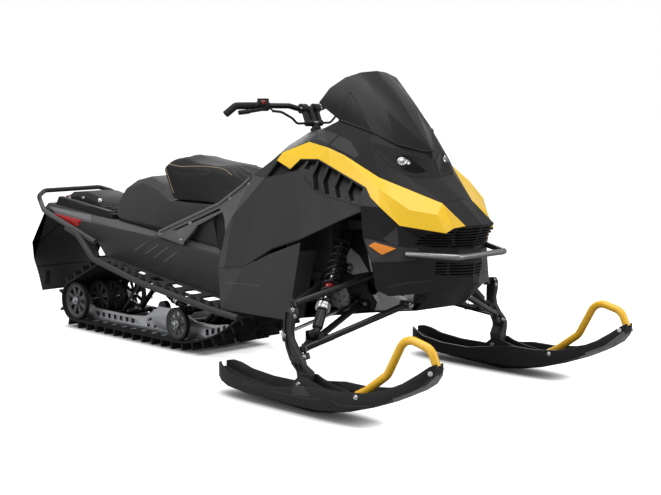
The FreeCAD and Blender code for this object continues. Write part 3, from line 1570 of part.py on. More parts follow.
def make_cables():
    cables = []
    clamp = STEER_FOOT + STEER * 10
    for side in (-1, 1):
        line = [
            V(284, side * 189, 1045),
            V(306, side * 160, 1041),
            V(clamp.x, side * 118, 1016),
            V(clamp.x, side * 92, clamp.z),
            V(clamp.x, side * (45 + GAP), clamp.z),
        ]
        cables.append(bent_tube(line, 5, 30))
    return Part.makeCompound(cables)


add("handlebar", Part.makeCompound([make_handlebar(), make_riser()]))
add("grips", both_sides(make_grip()))
add("bar_controls", make_controls())
add("control_cables", make_cables())


# Seat and its moulded base

def tunnel_seat(x):
    return tunnel_top(x) + GAP


SEAT_FLOOR = 654


TRIM_SHARE = TUNNEL_HALF / 213


def trim_ring(half):
    """A ring of the seat or its housings, as wide as the tunnel under it asks for."""
    return mirrored_ring([(x, y * TRIM_SHARE, z) for x, y, z in half])


def make_seat_base():
    lid = SEAT_FLOOR - GAP
    sections = [
        [(-800, 0), (-800, 150), (-799, 165, 554), (-815, 140, 621), (-800, 105, 650), (-800, 0, 655)],
        [(-735, 0), (-735, 165), (-732, 180, 546), (-745, 150, 680), (-700, 118, 719), (-700, 0, 722)],
        [(-620, 0), (-620, 170), (-620, 186, 541), (-615, 155, 712), (-594, 120, 741), (-594, 0, 744)],
        [(-500, 0), (-500, 172), (-500, 192, 536), (-495, 168, 690), (-486, 130, 708), (-486, 0, 710)],
        [(-420, 0), (-420, 172), (-434, 200, 533), (-385, 192, 652), (-385, 150, lid), (-385, 0, lid)],
        [(-250, 0), (-250, 172), (-250, 205, 598), (-250, 203, 650), (-250, 150, lid), (-250, 0, lid)],
        [(-75, 0), (-75, 172), (-79, 208, 648), (-75, 206, 651), (-75, 150, lid), (-75, 0, lid)],
    ]
    rings = []
    for section in sections:
        half = [p if len(p) == 3 else (p[0], p[1], tunnel_seat(p[0])) for p in section]
        rings.append(trim_ring(half))
    return ring_solid(rings)


def make_seat():
    floor = SEAT_FLOOR
    sections = [
        [(-384, 0, floor), (-384, 122, floor), (-503, 100, 768), (-494, 76, 808), (-497, 0, 818)],
        [(-380, 0, floor), (-380, 170, floor), (-482, 148, 780), (-466, 112, 820), (-470, 0, 834)],
        [(-350, 0, floor), (-350, 190, floor), (-440, 160, 803), (-420, 104, 832), (-424, 0, 845)],
        [(-290, 0, floor), (-290, 200, floor), (-350, 160, 798), (-335, 100, 816), (-335, 0, 827)],
        [(-200, 0, floor), (-200, 205, floor), (-235, 152, 800), (-230, 96, 806), (-230, 0, 812)],
        [(-112, 0, floor), (-112, 205, floor), (-132, 134, 797), (-130, 90, 798), (-130, 0, 801)],
        [(-60, 0, floor), (-60, 200, floor), (-68, 122, 772), (-64, 88, 777), (-64, 0, 781)],
        [(-5, 0, 682), (-5, 150, 682), (-4, 108, 730), (-2, 82, 737), (-2, 0, 741)],
        [(30, 0, 708), (30, 110, 708), (33, 94, 716), (35, 76, 720), (36, 0, 723)],
    ]
    return ring_solid([trim_ring(half) for half in sections])


UNDERSIDE = [(-60, SEAT_FLOOR), (-5, 682), (70, 738)]


def make_console():
    """The tank housing between the seat and the knee panels."""
    sections = [[(-72, 0), (-72, 160), (-72, 165, 560), (-72, 150, 640), (-72, 0, 640)]]
    for x, floor in UNDERSIDE:
        wide = 196 + 0.1 * x
        high = floor - GAP
        sections.append([(x, 0), (x, wide), (x, wide + 4, 600), (x, 150, high), (x, 0, high)])
    sections.append([(112, 0), (112, 205), (112, 208, 650), (106, 158, 757), (104, 0, 761)])
    sections.append([(290, 0), (290, 205), (290, 208, 690), (285, 195, 820), (285, 0, 850)])
    rings = []
    for section in sections:
        half = [p if len(p) == 3 else (p[0], p[1], tunnel_seat(p[0])) for p in section]
        rings.append(trim_ring(half))
    return ring_solid(rings)


add("console", make_console())
add("seat_base", make_seat_base())
add("seat", make_seat())


# Checks before anything is written

doc.recompute()
os.makedirs("parts", exist_ok=True)
for feature in doc.Objects:
    bad = [flag for flag in feature.State if flag in ("Invalid", "Error")]
    if bad:
        raise RuntimeError("%s: %s" % (feature.Label, bad))
for feature in nodes:
    if feature.Shape.isNull():
        raise RuntimeError("%s has no shape" % feature.Label)
    if not feature.Shape.isValid():
        raise RuntimeError("%s is not valid" % feature.Label)
for feature in nodes:
    feature.Shape.exportStep("parts/%s.step" % feature.Label)
    box = feature.Shape.BoundBox
    print("%-20s solids %2d  x %6.0f %6.0f  y %6.0f %6.0f  z %6.0f %6.0f" % (
        feature.Label, len(feature.Shape.Solids), box.XMin, box.XMax, box.YMin, box.YMax, box.ZMin, box.ZMax))
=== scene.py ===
# %% [markdown]
# This lesson dresses a mountain snowmobile for the camera. The solid frame, with every panel, arm and wheel in its
# measured place, is loaded first. Each later cell says what one piece or finish is on the real machine and then makes
# it. Nothing in the frame is moved: its parts get finishes, or a finer piece takes their place.

# %% Load the frame
import json
import math

import bpy
from mathutils import Euler, Matrix, Vector

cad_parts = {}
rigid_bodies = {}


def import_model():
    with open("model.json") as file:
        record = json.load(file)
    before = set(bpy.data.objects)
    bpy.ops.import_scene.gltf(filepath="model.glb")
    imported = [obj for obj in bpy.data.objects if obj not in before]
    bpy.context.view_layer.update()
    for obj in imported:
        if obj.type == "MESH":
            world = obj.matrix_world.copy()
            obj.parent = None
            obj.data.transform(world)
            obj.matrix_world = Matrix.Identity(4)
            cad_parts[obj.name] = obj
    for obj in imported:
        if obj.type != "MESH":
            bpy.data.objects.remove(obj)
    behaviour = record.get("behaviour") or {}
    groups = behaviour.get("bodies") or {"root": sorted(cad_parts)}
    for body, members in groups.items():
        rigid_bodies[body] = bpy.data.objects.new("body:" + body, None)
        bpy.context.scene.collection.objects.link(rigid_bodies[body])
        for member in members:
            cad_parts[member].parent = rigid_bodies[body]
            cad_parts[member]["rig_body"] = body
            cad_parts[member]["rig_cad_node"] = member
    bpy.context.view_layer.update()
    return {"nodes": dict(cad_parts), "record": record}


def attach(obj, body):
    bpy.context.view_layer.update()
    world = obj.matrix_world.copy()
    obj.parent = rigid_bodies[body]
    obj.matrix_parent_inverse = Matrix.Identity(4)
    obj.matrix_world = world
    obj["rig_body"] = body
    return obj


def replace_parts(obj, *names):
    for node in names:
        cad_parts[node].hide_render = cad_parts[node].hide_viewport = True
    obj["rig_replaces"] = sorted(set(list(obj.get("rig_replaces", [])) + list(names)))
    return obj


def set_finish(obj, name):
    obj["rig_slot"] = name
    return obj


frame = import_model()
nodes = frame["nodes"]
slot_of = {row["node"]: row["material_slot"] for row in frame["record"]["subparts"]}
body_of = {name: obj["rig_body"] for name, obj in nodes.items()}
print("frame nodes:", len(nodes))

# %% [markdown]
# Every operator works on what is selected, so small helpers keep the selection honest. They select one object, open it
# in edit mode, or pick only some of its faces. Corners nearer than a weld distance (in metres) become one.

# %% Selection helpers
WELD = 0.00005
FINE_WELD = 0.00002
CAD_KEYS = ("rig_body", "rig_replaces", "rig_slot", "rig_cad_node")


def select_only(piece):
    bpy.ops.object.select_all(action="DESELECT")
    piece.select_set(True)
    bpy.context.view_layer.objects.active = piece


def open_mesh(piece, mode="VERT", keep_picks=False):
    select_only(piece)
    bpy.ops.object.mode_set(mode="EDIT")
    bpy.ops.mesh.select_mode(type=mode)
    if not keep_picks:
        bpy.ops.mesh.select_all(action="SELECT")


def close_mesh():
    bpy.ops.object.mode_set(mode="OBJECT")


def pick_faces(piece, wanted):
    """Leaves an open mesh with only those faces picked for which wanted(face) is true."""
    bpy.ops.mesh.select_all(action="DESELECT")
    close_mesh()
    for polygon in piece.data.polygons:
        polygon.select = wanted(polygon)
    open_mesh(piece, "FACE", keep_picks=True)


def turn_outward(piece, weld=None):
    """Points every face outward, after welding the corners that meet if a distance is given."""
    open_mesh(piece)
    if weld:
        bpy.ops.mesh.remove_doubles(threshold=weld)
    bpy.ops.mesh.normals_make_consistent(inside=False)
    close_mesh()


def use_modifier(piece, kind, **settings):
    modifier = piece.modifiers.new(kind.title(), kind)
    for key, value in settings.items():
        setattr(modifier, key, value)
    select_only(piece)
    bpy.ops.object.modifier_apply(modifier=modifier.name)


def settle(piece):
    """Puts a piece's place into its mesh, so the object itself sits at the origin."""
    select_only(piece)
    bpy.ops.object.transform_apply(location=True, rotation=True, scale=True)


def smooth(piece, angle=30):
    select_only(piece)
    bpy.ops.object.shade_smooth_by_angle(angle=math.radians(angle))


def bare_copy(source, name):
    """A copy with its own mesh that rides on nothing yet."""
    piece = source.copy()
    piece.data = source.data.copy()
    piece.name = name
    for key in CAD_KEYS:
        if key in piece:
            del piece[key]
    piece.parent = None
    bpy.context.scene.collection.objects.link(piece)
    return piece


# %% [markdown]
# Moulded plastic, rubber and paint are never one flat colour. A shared node group mixes a slow mottle with a fine
# grain. It gives a tone, a roughness and a height, and each finish feeds them to its own shader with its own values.

# %% Shared surface group
FLOAT = "NodeSocketFloat"
COLOUR = "NodeSocketColor"
VECTOR = "NodeSocketVector"


def add_node(tree, kind, values=None):
    node = tree.nodes.new(kind)
    for socket, value in (values or {}).items():
        node.inputs[socket].default_value = value
    return node


def wire(tree, *links):
    """Each link is a node, its output, another node and its input."""
    for source, out, target, entry in links:
        tree.links.new(source.outputs[out], target.inputs[entry])


def new_group(name, entries, outs):
    tree = bpy.data.node_groups.new(name, "ShaderNodeTree")
    for way, sockets in (("INPUT", entries), ("OUTPUT", outs)):
        for label, kind in sockets:
            tree.interface.new_socket(label, in_out=way, socket_type=kind)
    return tree, tree.nodes.new("NodeGroupInput"), tree.nodes.new("NodeGroupOutput")


def make_surface_group():
    entries = [("Vector", VECTOR), ("Mottle Scale", FLOAT), ("Grain Scale", FLOAT), ("Rough Low", FLOAT)]
    entries += [("Rough High", FLOAT), ("Colour A", COLOUR), ("Colour B", COLOUR)]
    outs = [("Colour", COLOUR), ("Roughness", FLOAT), ("Height", FLOAT)]
    tree, start, end = new_group("Surface grain", entries, outs)
    mottle = add_node(tree, "ShaderNodeTexNoise", {"Detail": 3})
    grain = add_node(tree, "ShaderNodeTexNoise", {"Detail": 2})
    spread = add_node(tree, "ShaderNodeMapRange", {"From Min": 0.35, "From Max": 0.65})
    rough = add_node(tree, "ShaderNodeMapRange", {"From Min": 0.3, "From Max": 0.7})
    mix = tree.nodes.new("ShaderNodeMix")
    mix.data_type = "RGBA"
    wire(
        tree,
        (start, "Vector", mottle, "Vector"), (start, "Mottle Scale", mottle, "Scale"),
        (start, "Vector", grain, "Vector"), (start, "Grain Scale", grain, "Scale"),
        (mottle, "Fac", spread, "Value"), (mottle, "Fac", rough, "Value"),
        (start, "Rough Low", rough, "To Min"), (start, "Rough High", rough, "To Max"),
        (rough, "Result", end, "Roughness"), (grain, "Fac", end, "Height"),
        (spread, "Result", mix, "Factor"), (start, "Colour A", mix, "A"), (start, "Colour B", mix, "B"),
        (mix, "Result", end, "Colour"),
    )
    return tree


surface_group = make_surface_group()
print("surface group:", len(surface_group.nodes), "nodes")

# %% [markdown]
# Drawn and cast metal carry fine lines. The second group stretches a noise along one direction, so the lines run with
# the bar or the rail.

# %% Shared brushed group
def make_brushed_group():
    entries = [("Vector", VECTOR), ("Scale", FLOAT), ("Rough Low", FLOAT), ("Rough High", FLOAT), ("Stretch", VECTOR)]
    tree, start, end = new_group("Brushed lines", entries, [("Roughness", FLOAT), ("Height", FLOAT)])
    stretch = tree.nodes.new("ShaderNodeVectorMath")
    stretch.operation = "MULTIPLY"
    lines = add_node(tree, "ShaderNodeTexNoise", {"Detail": 4})
    rough = tree.nodes.new("ShaderNodeMapRange")
    wire(
        tree,
        (start, "Vector", stretch, 0), (start, "Stretch", stretch, 1),
        (stretch, "Vector", lines, "Vector"), (start, "Scale", lines, "Scale"), (lines, "Fac", rough, "Value"),
        (start, "Rough Low", rough, "To Min"), (start, "Rough High", rough, "To Max"),
        (rough, "Result", end, "Roughness"), (lines, "Fac", end, "Height"),
    )
    return tree


brushed_group = make_brushed_group()
print("brushed group:", len(brushed_group.nodes), "nodes")

# %% [markdown]
# Each finish of the machine is one material. Plastics, paints, rubbers and the dark lamp covers go through the surface
# group, and metals through the brushed group.

# %% Finish makers
MOTTLE_SCALE = 6
COAT_ROUGHNESS = 0.12
METAL_BUMP = 0.25


def new_material(name):
    material = bpy.data.materials.new(name)
    material.use_nodes = True
    return material, material.node_tree, material.node_tree.nodes["Principled BSDF"]


def grouped(name, group_tree, values):
    """A material whose roughness comes from a shared group on object coordinates."""
    material, tree, shader = new_material(name)
    where = tree.nodes.new("ShaderNodeTexCoord")
    group = tree.nodes.new("ShaderNodeGroup")
    group.node_tree = group_tree
    for socket, value in values.items():
        group.inputs[socket].default_value = value
    wire(tree, (where, "Object", group, "Vector"), (group, "Roughness", shader, "Roughness"))
    return material, tree, shader, group


def bump_from(tree, group, shader, strength, distance):
    bump = add_node(tree, "ShaderNodeBump", {"Strength": strength, "Distance": distance})
    wire(tree, (group, "Height", bump, "Height"), (bump, "Normal", shader, "Normal"))


def coated(name, colour, shade, rough, grain=900, specular=0.5, depth=0.0002, strength=0.3, coat=0.0):
    values = {"Mottle Scale": MOTTLE_SCALE, "Grain Scale": grain, "Rough Low": rough[0], "Rough High": rough[1]}
    values["Colour A"] = (*colour, 1)
    values["Colour B"] = (*[c * shade for c in colour], 1)
    material, tree, shader, group = grouped(name, surface_group, values)
    wire(tree, (group, "Colour", shader, "Base Color"))
    shader.inputs["Coat Weight"].default_value = coat
    shader.inputs["Coat Roughness"].default_value = COAT_ROUGHNESS
    shader.inputs["Specular IOR Level"].default_value = specular
    bump_from(tree, group, shader, strength, depth)
    return material


def metal(name, colour, rough, stretch=(1, 30, 30), scale=12, depth=0.0001):
    values = {"Scale": scale, "Rough Low": rough[0], "Rough High": rough[1], "Stretch": stretch}
    material, tree, shader, group = grouped(name, brushed_group, values)
    shader.inputs["Base Color"].default_value = (*colour, 1)
    shader.inputs["Metallic"].default_value = 1.0
    bump_from(tree, group, shader, METAL_BUMP, depth)
    return material


def two_tone(name, low_colour, high_colour, low, high, tone=1.12):
    """A coated surface whose colour changes between two heights."""
    material = coated(name, low_colour, tone, (0.36, 0.46), specular=0.3)
    tree = material.node_tree
    group = next(node for node in tree.nodes if node.bl_idname == "ShaderNodeGroup")
    where = tree.nodes.new("ShaderNodeTexCoord")
    parts = tree.nodes.new("ShaderNodeSeparateXYZ")
    height = add_node(tree, "ShaderNodeMapRange", {"From Min": low, "From Max": high})
    wire(tree, (where, "Object", parts, 0), (parts, "Z", height, "Value"))
    for socket, shade in (("Colour A", 1), ("Colour B", tone)):
        tones = {"Color1": low_colour, "Color2": high_colour}
        tones = {key: (*[c * shade for c in colour], 1) for key, colour in tones.items()}
        mix = add_node(tree, "ShaderNodeMixRGB", tones)
        wire(tree, (height, "Result", mix, "Fac"), (mix, "Color", group, socket))
    return material


# %% Finishes of the machine
# Each coat has a colour, the mottle's share of it, its lowest and highest roughness, its grain and its specular level.
COATS = {
    "panel_black": ((0.010, 0.010, 0.011), 1.15, (0.38, 0.48), 900, 0.22),
    "panel_grey": ((0.037, 0.037, 0.039), 1.12, (0.48, 0.58), 1200, 0.2),
    "stripe_yellow": ((0.72, 0.45, 0.014), 0.97, (0.30, 0.38), 900, 0.35),
    "trim_black": ((0.008, 0.008, 0.009), 1.25, (0.50, 0.62), 1500, 0.22),
    "base_grey": ((0.030, 0.030, 0.032), 1.12, (0.50, 0.60), 1200, 0.22),
    "tunnel_grey": ((0.024, 0.024, 0.026), 1.12, (0.42, 0.52), 1600, 0.3),
    "bumper_grey": ((0.060, 0.060, 0.063), 1.12, (0.36, 0.46), 900, 0.35),
    "strut_grey": ((0.105, 0.105, 0.109), 1.1, (0.36, 0.46), 1500, 0.35),
    "flap_rubber": ((0.030, 0.030, 0.032), 1.3, (0.50, 0.65), 700, 0.22),
    "track_rubber": ((0.009, 0.009, 0.010), 1.5, (0.55, 0.72), 500, 0.22),
    "grip_rubber": ((0.009, 0.009, 0.009), 1.3, (0.60, 0.75), 1800, 0.22),
    "cable_black": ((0.008, 0.008, 0.009), 1.3, (0.40, 0.50), 1500, 0.3),
    "seat_vinyl": ((0.007, 0.007, 0.0075), 1.2, (0.55, 0.65), 1100, 0.14),
    "ski_black": ((0.010, 0.010, 0.011), 1.2, (0.42, 0.54), 700, 0.25),
    "black_steel": ((0.008, 0.008, 0.009), 1.2, (0.28, 0.38), 1800, 0.35),
    "shock_black": ((0.009, 0.009, 0.010), 1.2, (0.28, 0.38), 900, 0.35),
    "spindle_grey": ((0.010, 0.010, 0.011), 0.85, (0.42, 0.55), 500, 0.5),
    "wheel_grey": ((0.075, 0.077, 0.080), 0.9, (0.45, 0.55), 900, 0.3),
    "engine_grey": ((0.030, 0.030, 0.031), 0.8, (0.55, 0.7), 300, 0.5),
    "loop_yellow": ((0.83, 0.46, 0.016), 0.95, (0.30, 0.40), 900, 0.5),
    "reflector_red": ((0.46, 0.012, 0.010), 0.8, (0.14, 0.2), 200, 0.5),
    "reflector_amber": ((0.78, 0.25, 0.016), 0.8, (0.14, 0.2), 200, 0.5),
    "lamp_red": ((0.30, 0.008, 0.006), 0.8, (0.10, 0.18), 200, 0.5),
    "lamp_clear": ((0.003, 0.003, 0.0035), 1.2, (0.16, 0.22), 900, 0.12),
    "screen_smoke": ((0.008, 0.008, 0.009), 1.1, (0.30, 0.36), 900, 0.2),
}
COAT_EXTRAS = {
    "stripe_yellow": {"depth": 0.00004, "coat": 0.15}, "seat_vinyl": {"strength": 0.6},
    "spindle_grey": {"strength": 0.6}, "engine_grey": {"strength": 0.7}, "loop_yellow": {"coat": 0.2},
    "reflector_red": {"coat": 0.4}, "reflector_amber": {"coat": 0.4}, "lamp_red": {"coat": 0.5},
    "lamp_clear": {"depth": 0.00001}, "screen_smoke": {"depth": 0.00002},
}
METALS = {
    "rail_alloy": ((0.50, 0.51, 0.53), (0.30, 0.46), {}),
    "axle_steel": ((0.42, 0.43, 0.45), (0.25, 0.40), {"stretch": (30, 1, 30)}),
    "bright_alloy": ((0.66, 0.67, 0.68), (0.24, 0.36), {}),
    "cast_alloy": ((0.42, 0.43, 0.44), (0.42, 0.56), {"stretch": (6, 6, 6), "scale": 40}),
}
finish = {name: coated(name, *row, **COAT_EXTRAS.get(name, {})) for name, row in COATS.items()}
finish.update({name: metal(name, *row[:2], **row[2]) for name, row in METALS.items()})
print("finishes:", len(finish))

# %% [markdown]
# Some parts share a slot in the record and still differ on the machine. These parts get a finish of their own.

# %% Give every frame node its finish
NODE_CREASE = 28
hood_black = coated("hood_black", (0.0072, 0.0072, 0.0079), 1.15, (0.38, 0.48), specular=0.2)
own_finish = {
    "hood": hood_black,
    "nose_panel": hood_black,
    "side_panels": coated("side_black", (0.021, 0.021, 0.022), 1.12, (0.42, 0.52), specular=0.22),
    "front_bumper": metal("bumper_bar", (0.24, 0.24, 0.245), (0.34, 0.46)),
    "headlamps": coated("lamp_cover", (0.010, 0.010, 0.011), 1.15, (0.40, 0.50), specular=0.15),
    "rear_bumper": two_tone("bumper_tubes", (0.060, 0.060, 0.063), (0.012, 0.012, 0.013), 0.585, 0.600),
}
for name, node in nodes.items():
    node.data.materials.clear()
    node.data.materials.append(own_finish.get(name, finish[slot_of[name]]))
    smooth(node, NODE_CREASE)
print("own finishes:", len(own_finish))

# %% [markdown]
# A moulded panel has small rounded edges that catch a thin line of light. A copy of each frame part is merged, its flat
# faces are joined, and a narrow bevel rounds the edges. The gap between two panels then reads as a real seam.

# %% Rounded copies of the frame parts
EDGE = {
    "side_panels": 0.003, "lower_panels": 0.003, "hood": 0.003, "hood_stripes": 0.003, "nose_panel": 0.003,
    "nose_pan": 0.003, "intake_vents": 0.002, "belly_pan": 0.003, "seat_base": 0.004, "console": 0.004,
    "rear_deck": 0.003, "frame_struts": 0.0015, "bulkhead": 0.002, "spindle_left": 0.002, "spindle_right": 0.002,
    "ski_left": 0.003, "ski_right": 0.003, "snow_flap": 0.002, "tunnel": 0.001, "running_boards": 0.0015,
    "windshield": 0.0012, "track": 0.0016, "tail_lamp": 0.002, "rear_reflectors": 0.0012, "side_reflectors": 0.001,
    "slide_rails": 0.001, "front_bumper": 0.0015, "engine": 0.008,
}
CREASE = {
    "side_panels": 7, "lower_panels": 9, "hood_stripes": 9, "nose_pan": 9, "hood": 12, "intake_vents": 12,
    "belly_pan": 12, "nose_panel": 12, "frame_struts": 25, "rear_deck": 20, "seat_base": 16, "console": 16,
}
PLAIN_CREASE = 35
FLAT_WITHIN = 0.8
BEVEL_FROM = 24


def softened(name, width):
    piece = bare_copy(nodes[name], name + "_skin")
    open_mesh(piece)
    bpy.ops.mesh.remove_doubles(threshold=WELD)
    bpy.ops.mesh.dissolve_limited(angle_limit=math.radians(FLAT_WITHIN))
    close_mesh()
    use_modifier(
        piece, "BEVEL", width=width, segments=2, limit_method="ANGLE",
        angle_limit=math.radians(BEVEL_FROM), use_clamp_overlap=True,
    )
    smooth(piece, CREASE.get(name, PLAIN_CREASE))
    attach(piece, body_of[name])
    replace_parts(piece, name)
    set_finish(piece, slot_of[name])
    return piece


skins = {name: softened(name, width) for name, width in EDGE.items()}
print("rounded copies:", len(skins))

# %% [markdown]
# Small hardware is turned from a disc: each step pushes the end face along and resizes it. Rings and bands start as a
# small rectangle that is swept round an axis, and a spring as a small circle that climbs as it turns.

# %% Makers of turned, ringed and coiled pieces
RING_CREASE = 35
COIL_CREASE = 60


def place(piece, start, end):
    along = Vector(end) - Vector(start)
    piece.matrix_world = Matrix.Translation(Vector(start)) @ along.to_track_quat("Z", "Y").to_matrix().to_4x4()
    settle(piece)
    return piece


def started(name, maker, **settings):
    """A new piece from one of Blender's plain shapes, which the maker adds."""
    bpy.ops.object.select_all(action="DESELECT")
    maker(**settings)
    piece = bpy.context.object
    piece.name = name
    return piece


def turned(name, steps, start, end, sides=24, angle=40):
    """A round piece whose profile is a list of (height, radius), standing on start and pointing to end."""
    piece = started(
        name, bpy.ops.mesh.primitive_circle_add, vertices=sides, radius=steps[0][1], fill_type="NGON",
        location=(0, 0, steps[0][0]),
    )
    settle(piece)
    open_mesh(piece, "FACE")
    for (z0, r0), (z1, r1) in zip(steps, steps[1:]):
        bpy.ops.mesh.extrude_region_move(TRANSFORM_OT_translate={"value": (0, 0, z1 - z0)})
        bpy.ops.transform.resize(value=(r1 / r0, r1 / r0, 1), center_override=(0, 0, z1))
    bpy.ops.mesh.select_all(action="SELECT")
    bpy.ops.mesh.normals_make_consistent(inside=False)
    close_mesh()
    place(piece, start, end)
    smooth(piece, angle)
    return piece


def ring_band(name, radius, thick, wide, start, end, sides=48, edge=0.001):
    """A ring whose section is thick by wide, centred on the middle of the line from start to end."""
    piece = started(
        name, bpy.ops.mesh.primitive_plane_add, size=1, location=(radius, 0, 0), rotation=(math.pi / 2, 0, 0)
    )
    piece.scale = (thick, wide, 1)
    settle(piece)
    open_mesh(piece, "FACE")
    bpy.ops.mesh.delete(type="ONLY_FACE")
    close_mesh()
    use_modifier(piece, "SCREW", angle=math.tau, screw_offset=0, steps=sides, use_merge_vertices=True)
    turn_outward(piece, FINE_WELD)
    use_modifier(piece, "BEVEL", width=edge, segments=2, limit_method="ANGLE", angle_limit=math.radians(50))
    middle = (Vector(start) + Vector(end)) / 2
    place(piece, middle, middle + Vector(end) - Vector(start))
    smooth(piece, RING_CREASE)
    return piece


def coil(name, radius, wire_radius, turns, start, end):
    """A spring with filled ends that winds from start to end."""
    length = (Vector(end) - Vector(start)).length
    piece = started(
        name, bpy.ops.mesh.primitive_circle_add, vertices=8, radius=wire_radius, fill_type="NGON",
        location=(radius, 0, 0), rotation=(math.pi / 2, 0, 0),
    )
    settle(piece)
    open_mesh(piece, "FACE")
    bpy.ops.mesh.delete(type="ONLY_FACE")
    close_mesh()
    use_modifier(piece, "SCREW", angle=math.tau, screw_offset=length / turns, iterations=turns, steps=18)
    open_mesh(piece)
    bpy.ops.mesh.select_all(action="DESELECT")
    bpy.ops.mesh.select_non_manifold()
    bpy.ops.mesh.fill_holes(sides=0)
    bpy.ops.mesh.select_all(action="SELECT")
    bpy.ops.mesh.normals_make_consistent(inside=False)
    close_mesh()
    place(piece, start, end)
    smooth(piece, COIL_CREASE)
    return piece


def joined(name, pieces):
    select_only(pieces[0])
    for piece in pieces:
        piece.select_set(True)
    if len(pieces) > 1:
        bpy.ops.object.join()
    whole = bpy.context.object
    whole.name = name
    return whole


def dressed(piece, body, slot, *stands_for, look=None):
    """Gives a piece its finish, the body it rides on, its slot in the record and the nodes it stands for."""
    piece.data.materials.clear()
    piece.data.materials.append(look or finish[slot])
    for polygon in piece.data.polygons:
        polygon.material_index = 0
    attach(piece, body)
    if stands_for:
        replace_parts(piece, *stands_for)
    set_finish(piece, slot)
    return piece


def other_side(piece):
    """A copy across the machine's middle plane."""
    twin = bare_copy(piece, piece.name + "_left")
    twin.scale = (1, -1, 1)
    settle(twin)
    turn_outward(twin)
    return twin


def opposite(node):
    """The node that mirrors this one, or the node itself when it lies on both sides."""
    if node.endswith("_left"):
        return node[:-5] + "_right"
    return node.replace("_right", "_left")


def dressed_pair(piece, node, slot, mirror=True, look=None):
    """Dresses a piece like its carrier's side, and a mirrored copy like the other side."""
    pair = [(piece, node)]
    if mirror:
        pair.append((other_side(piece), opposite(node)))
    for one, carrier in pair:
        dressed(one, body_of[carrier], slot, look=look)


print("makers ready")

# %% [markdown]
# A coil-over shock is a bright shaft in a black body, with a wound spring between two seats and a rubber bump stop.
# One pair stands behind the nose, and two more sit inside the track.

# %% Shocks
COLLAR_SHARE = 0.23
TOP_SEAT_SHARE = 0.90
TUBE = 0.0195
SHAFT = 0.0075
X_AXIS = Vector((1, 0, 0))
Y_AXIS = Vector((0, 1, 0))


def make_shock(tag, low, high, axis_low, axis_high, bore_low, bore_high, wide=0.028):
    """A shock from its low eye to its high one; wide is the radius of the threaded collar."""
    length = (Vector(high) - Vector(low)).length
    base = COLLAR_SHARE * length
    rest = TOP_SEAT_SHARE * length

    def at(reach):
        return Vector(low) + (Vector(high) - Vector(low)).normalized() * reach

    tube = [(0, 0.014), (0.006, TUBE), (base - 0.028, TUBE), (base - 0.024, 0.016), (base, 0.016)]
    body = turned("tube_" + tag, tube, at(0.022), high)
    thread = [(0, wide - 0.003), (0.003, wide), (0.012, wide), (0.014, wide - 0.002)]
    thread += [(0.016, wide), (0.025, wide), (0.028, wide - 0.003)]
    collar = turned("collar_" + tag, thread, at(base), high)
    shaft = turned("shaft_" + tag, [(0, SHAFT), (length - base - 0.02, SHAFT)], at(base), high)
    seat_steps = [(0, 0.022), (0.003, 0.030), (0.010, 0.030), (0.013, 0.024)]
    seats = [turned("seat_ring", seat_steps, at(reach), high) for reach in (base + 0.028, rest)]
    eyes = []
    for spot, axis, bore in ((low, axis_low, bore_low), (high, axis_high, bore_high)):
        spot = Vector(spot)
        eyes.append(ring_band("eye", bore + 0.005, 0.009, 0.026, spot - axis * 0.01, spot + axis * 0.01, 24))
    neck = turned("neck", [(0, 0.016), (length - rest - 0.022, 0.013)], at(rest + 0.010), high)
    foot = turned("foot", [(0, 0.011), (0.016, 0.012)], at(bore_low + 0.002), high)
    spring = coil("spring_" + tag, 0.0245, 0.0052, 8, at(base + 0.044), at(rest - 0.004))
    bulge = [(0, 0.011), (0.006, 0.018), (0.014, 0.014), (0.022, 0.018), (0.030, 0.018), (0.036, 0.011)]
    stop = turned("stop_" + tag, bulge, at(base + 0.085), high)
    dark = joined("shock_" + tag, [body, neck, foot] + seats + eyes)
    looks = ("shock_black", "black_steel", "axle_steel", "lamp_red", "bright_alloy")
    for piece, slot in zip((dark, spring, shaft, stop, collar), looks):
        dressed(piece, "chassis", slot, "shocks")


for side, tag in ((-1, "front_right"), (1, "front_left")):
    low = (0.830, side * 0.476, 0.262)
    high = (0.703, side * 0.205, 0.590)
    make_shock(tag, low, high, X_AXIS, Y_AXIS, 0.0093, 0.0103)
make_shock("rear_a", (-0.318, 0, 0.092), (-0.060, 0, 0.330), Y_AXIS, Y_AXIS, 0.0133, 0.0103, 0.025)
make_shock("rear_b", (-0.500, 0, 0.136), (-0.7421, 0, 0.2679), Y_AXIS, Y_AXIS, 0.0133, 0.0133, 0.025)
print("shocks: 4")

# %% [markdown]
# The wheels inside the track carry black rubber tyres and pressed hub caps.

# %% Wheel tyres and caps
# Each row is how far forward, how high, the wheel's radius, and its places across.
WHEELS = [
    (-1.132, 0.127, 0.088, (-0.165, -0.0363, 0.0363, 0.165)),
    (-0.363, 0.1115, 0.072, (-0.165, 0.165)),
    (-0.627, 0.383, 0.066, (-0.0825, 0.0825)),
]
CAP = [(0, 0.019), (0.004, 0.019), (0.007, 0.016), (0.0075, 0.009), (0.014, 0.009), (0.0155, 0.007)]
OUTER_WHEEL = 0.1
tyres = []
caps = []
for x, z, radius, places in WHEELS:
    for y in places:
        tyres.append(
            ring_band("tyre", radius - 0.0055, 0.0108, 0.0208, (x, y - 0.01, z), (x, y + 0.01, z), 56, 0.002)
        )
        if abs(y) > OUTER_WHEEL:
            side = math.copysign(1, y)
            caps.append(turned("cap", CAP, (x, y + side * 0.009, z), (x, y + side, z)))
dressed(joined("wheel_tyres", tyres), "chassis", "track_rubber")
dressed(joined("wheel_caps", caps), "chassis", "axle_steel")
print("tyres:", len(tyres), "caps:", len(caps))

# %% [markdown]
# Bolts with washers hold the struts, the wishbones and the skis. Each head is a six-sided disc with a small chamfer.

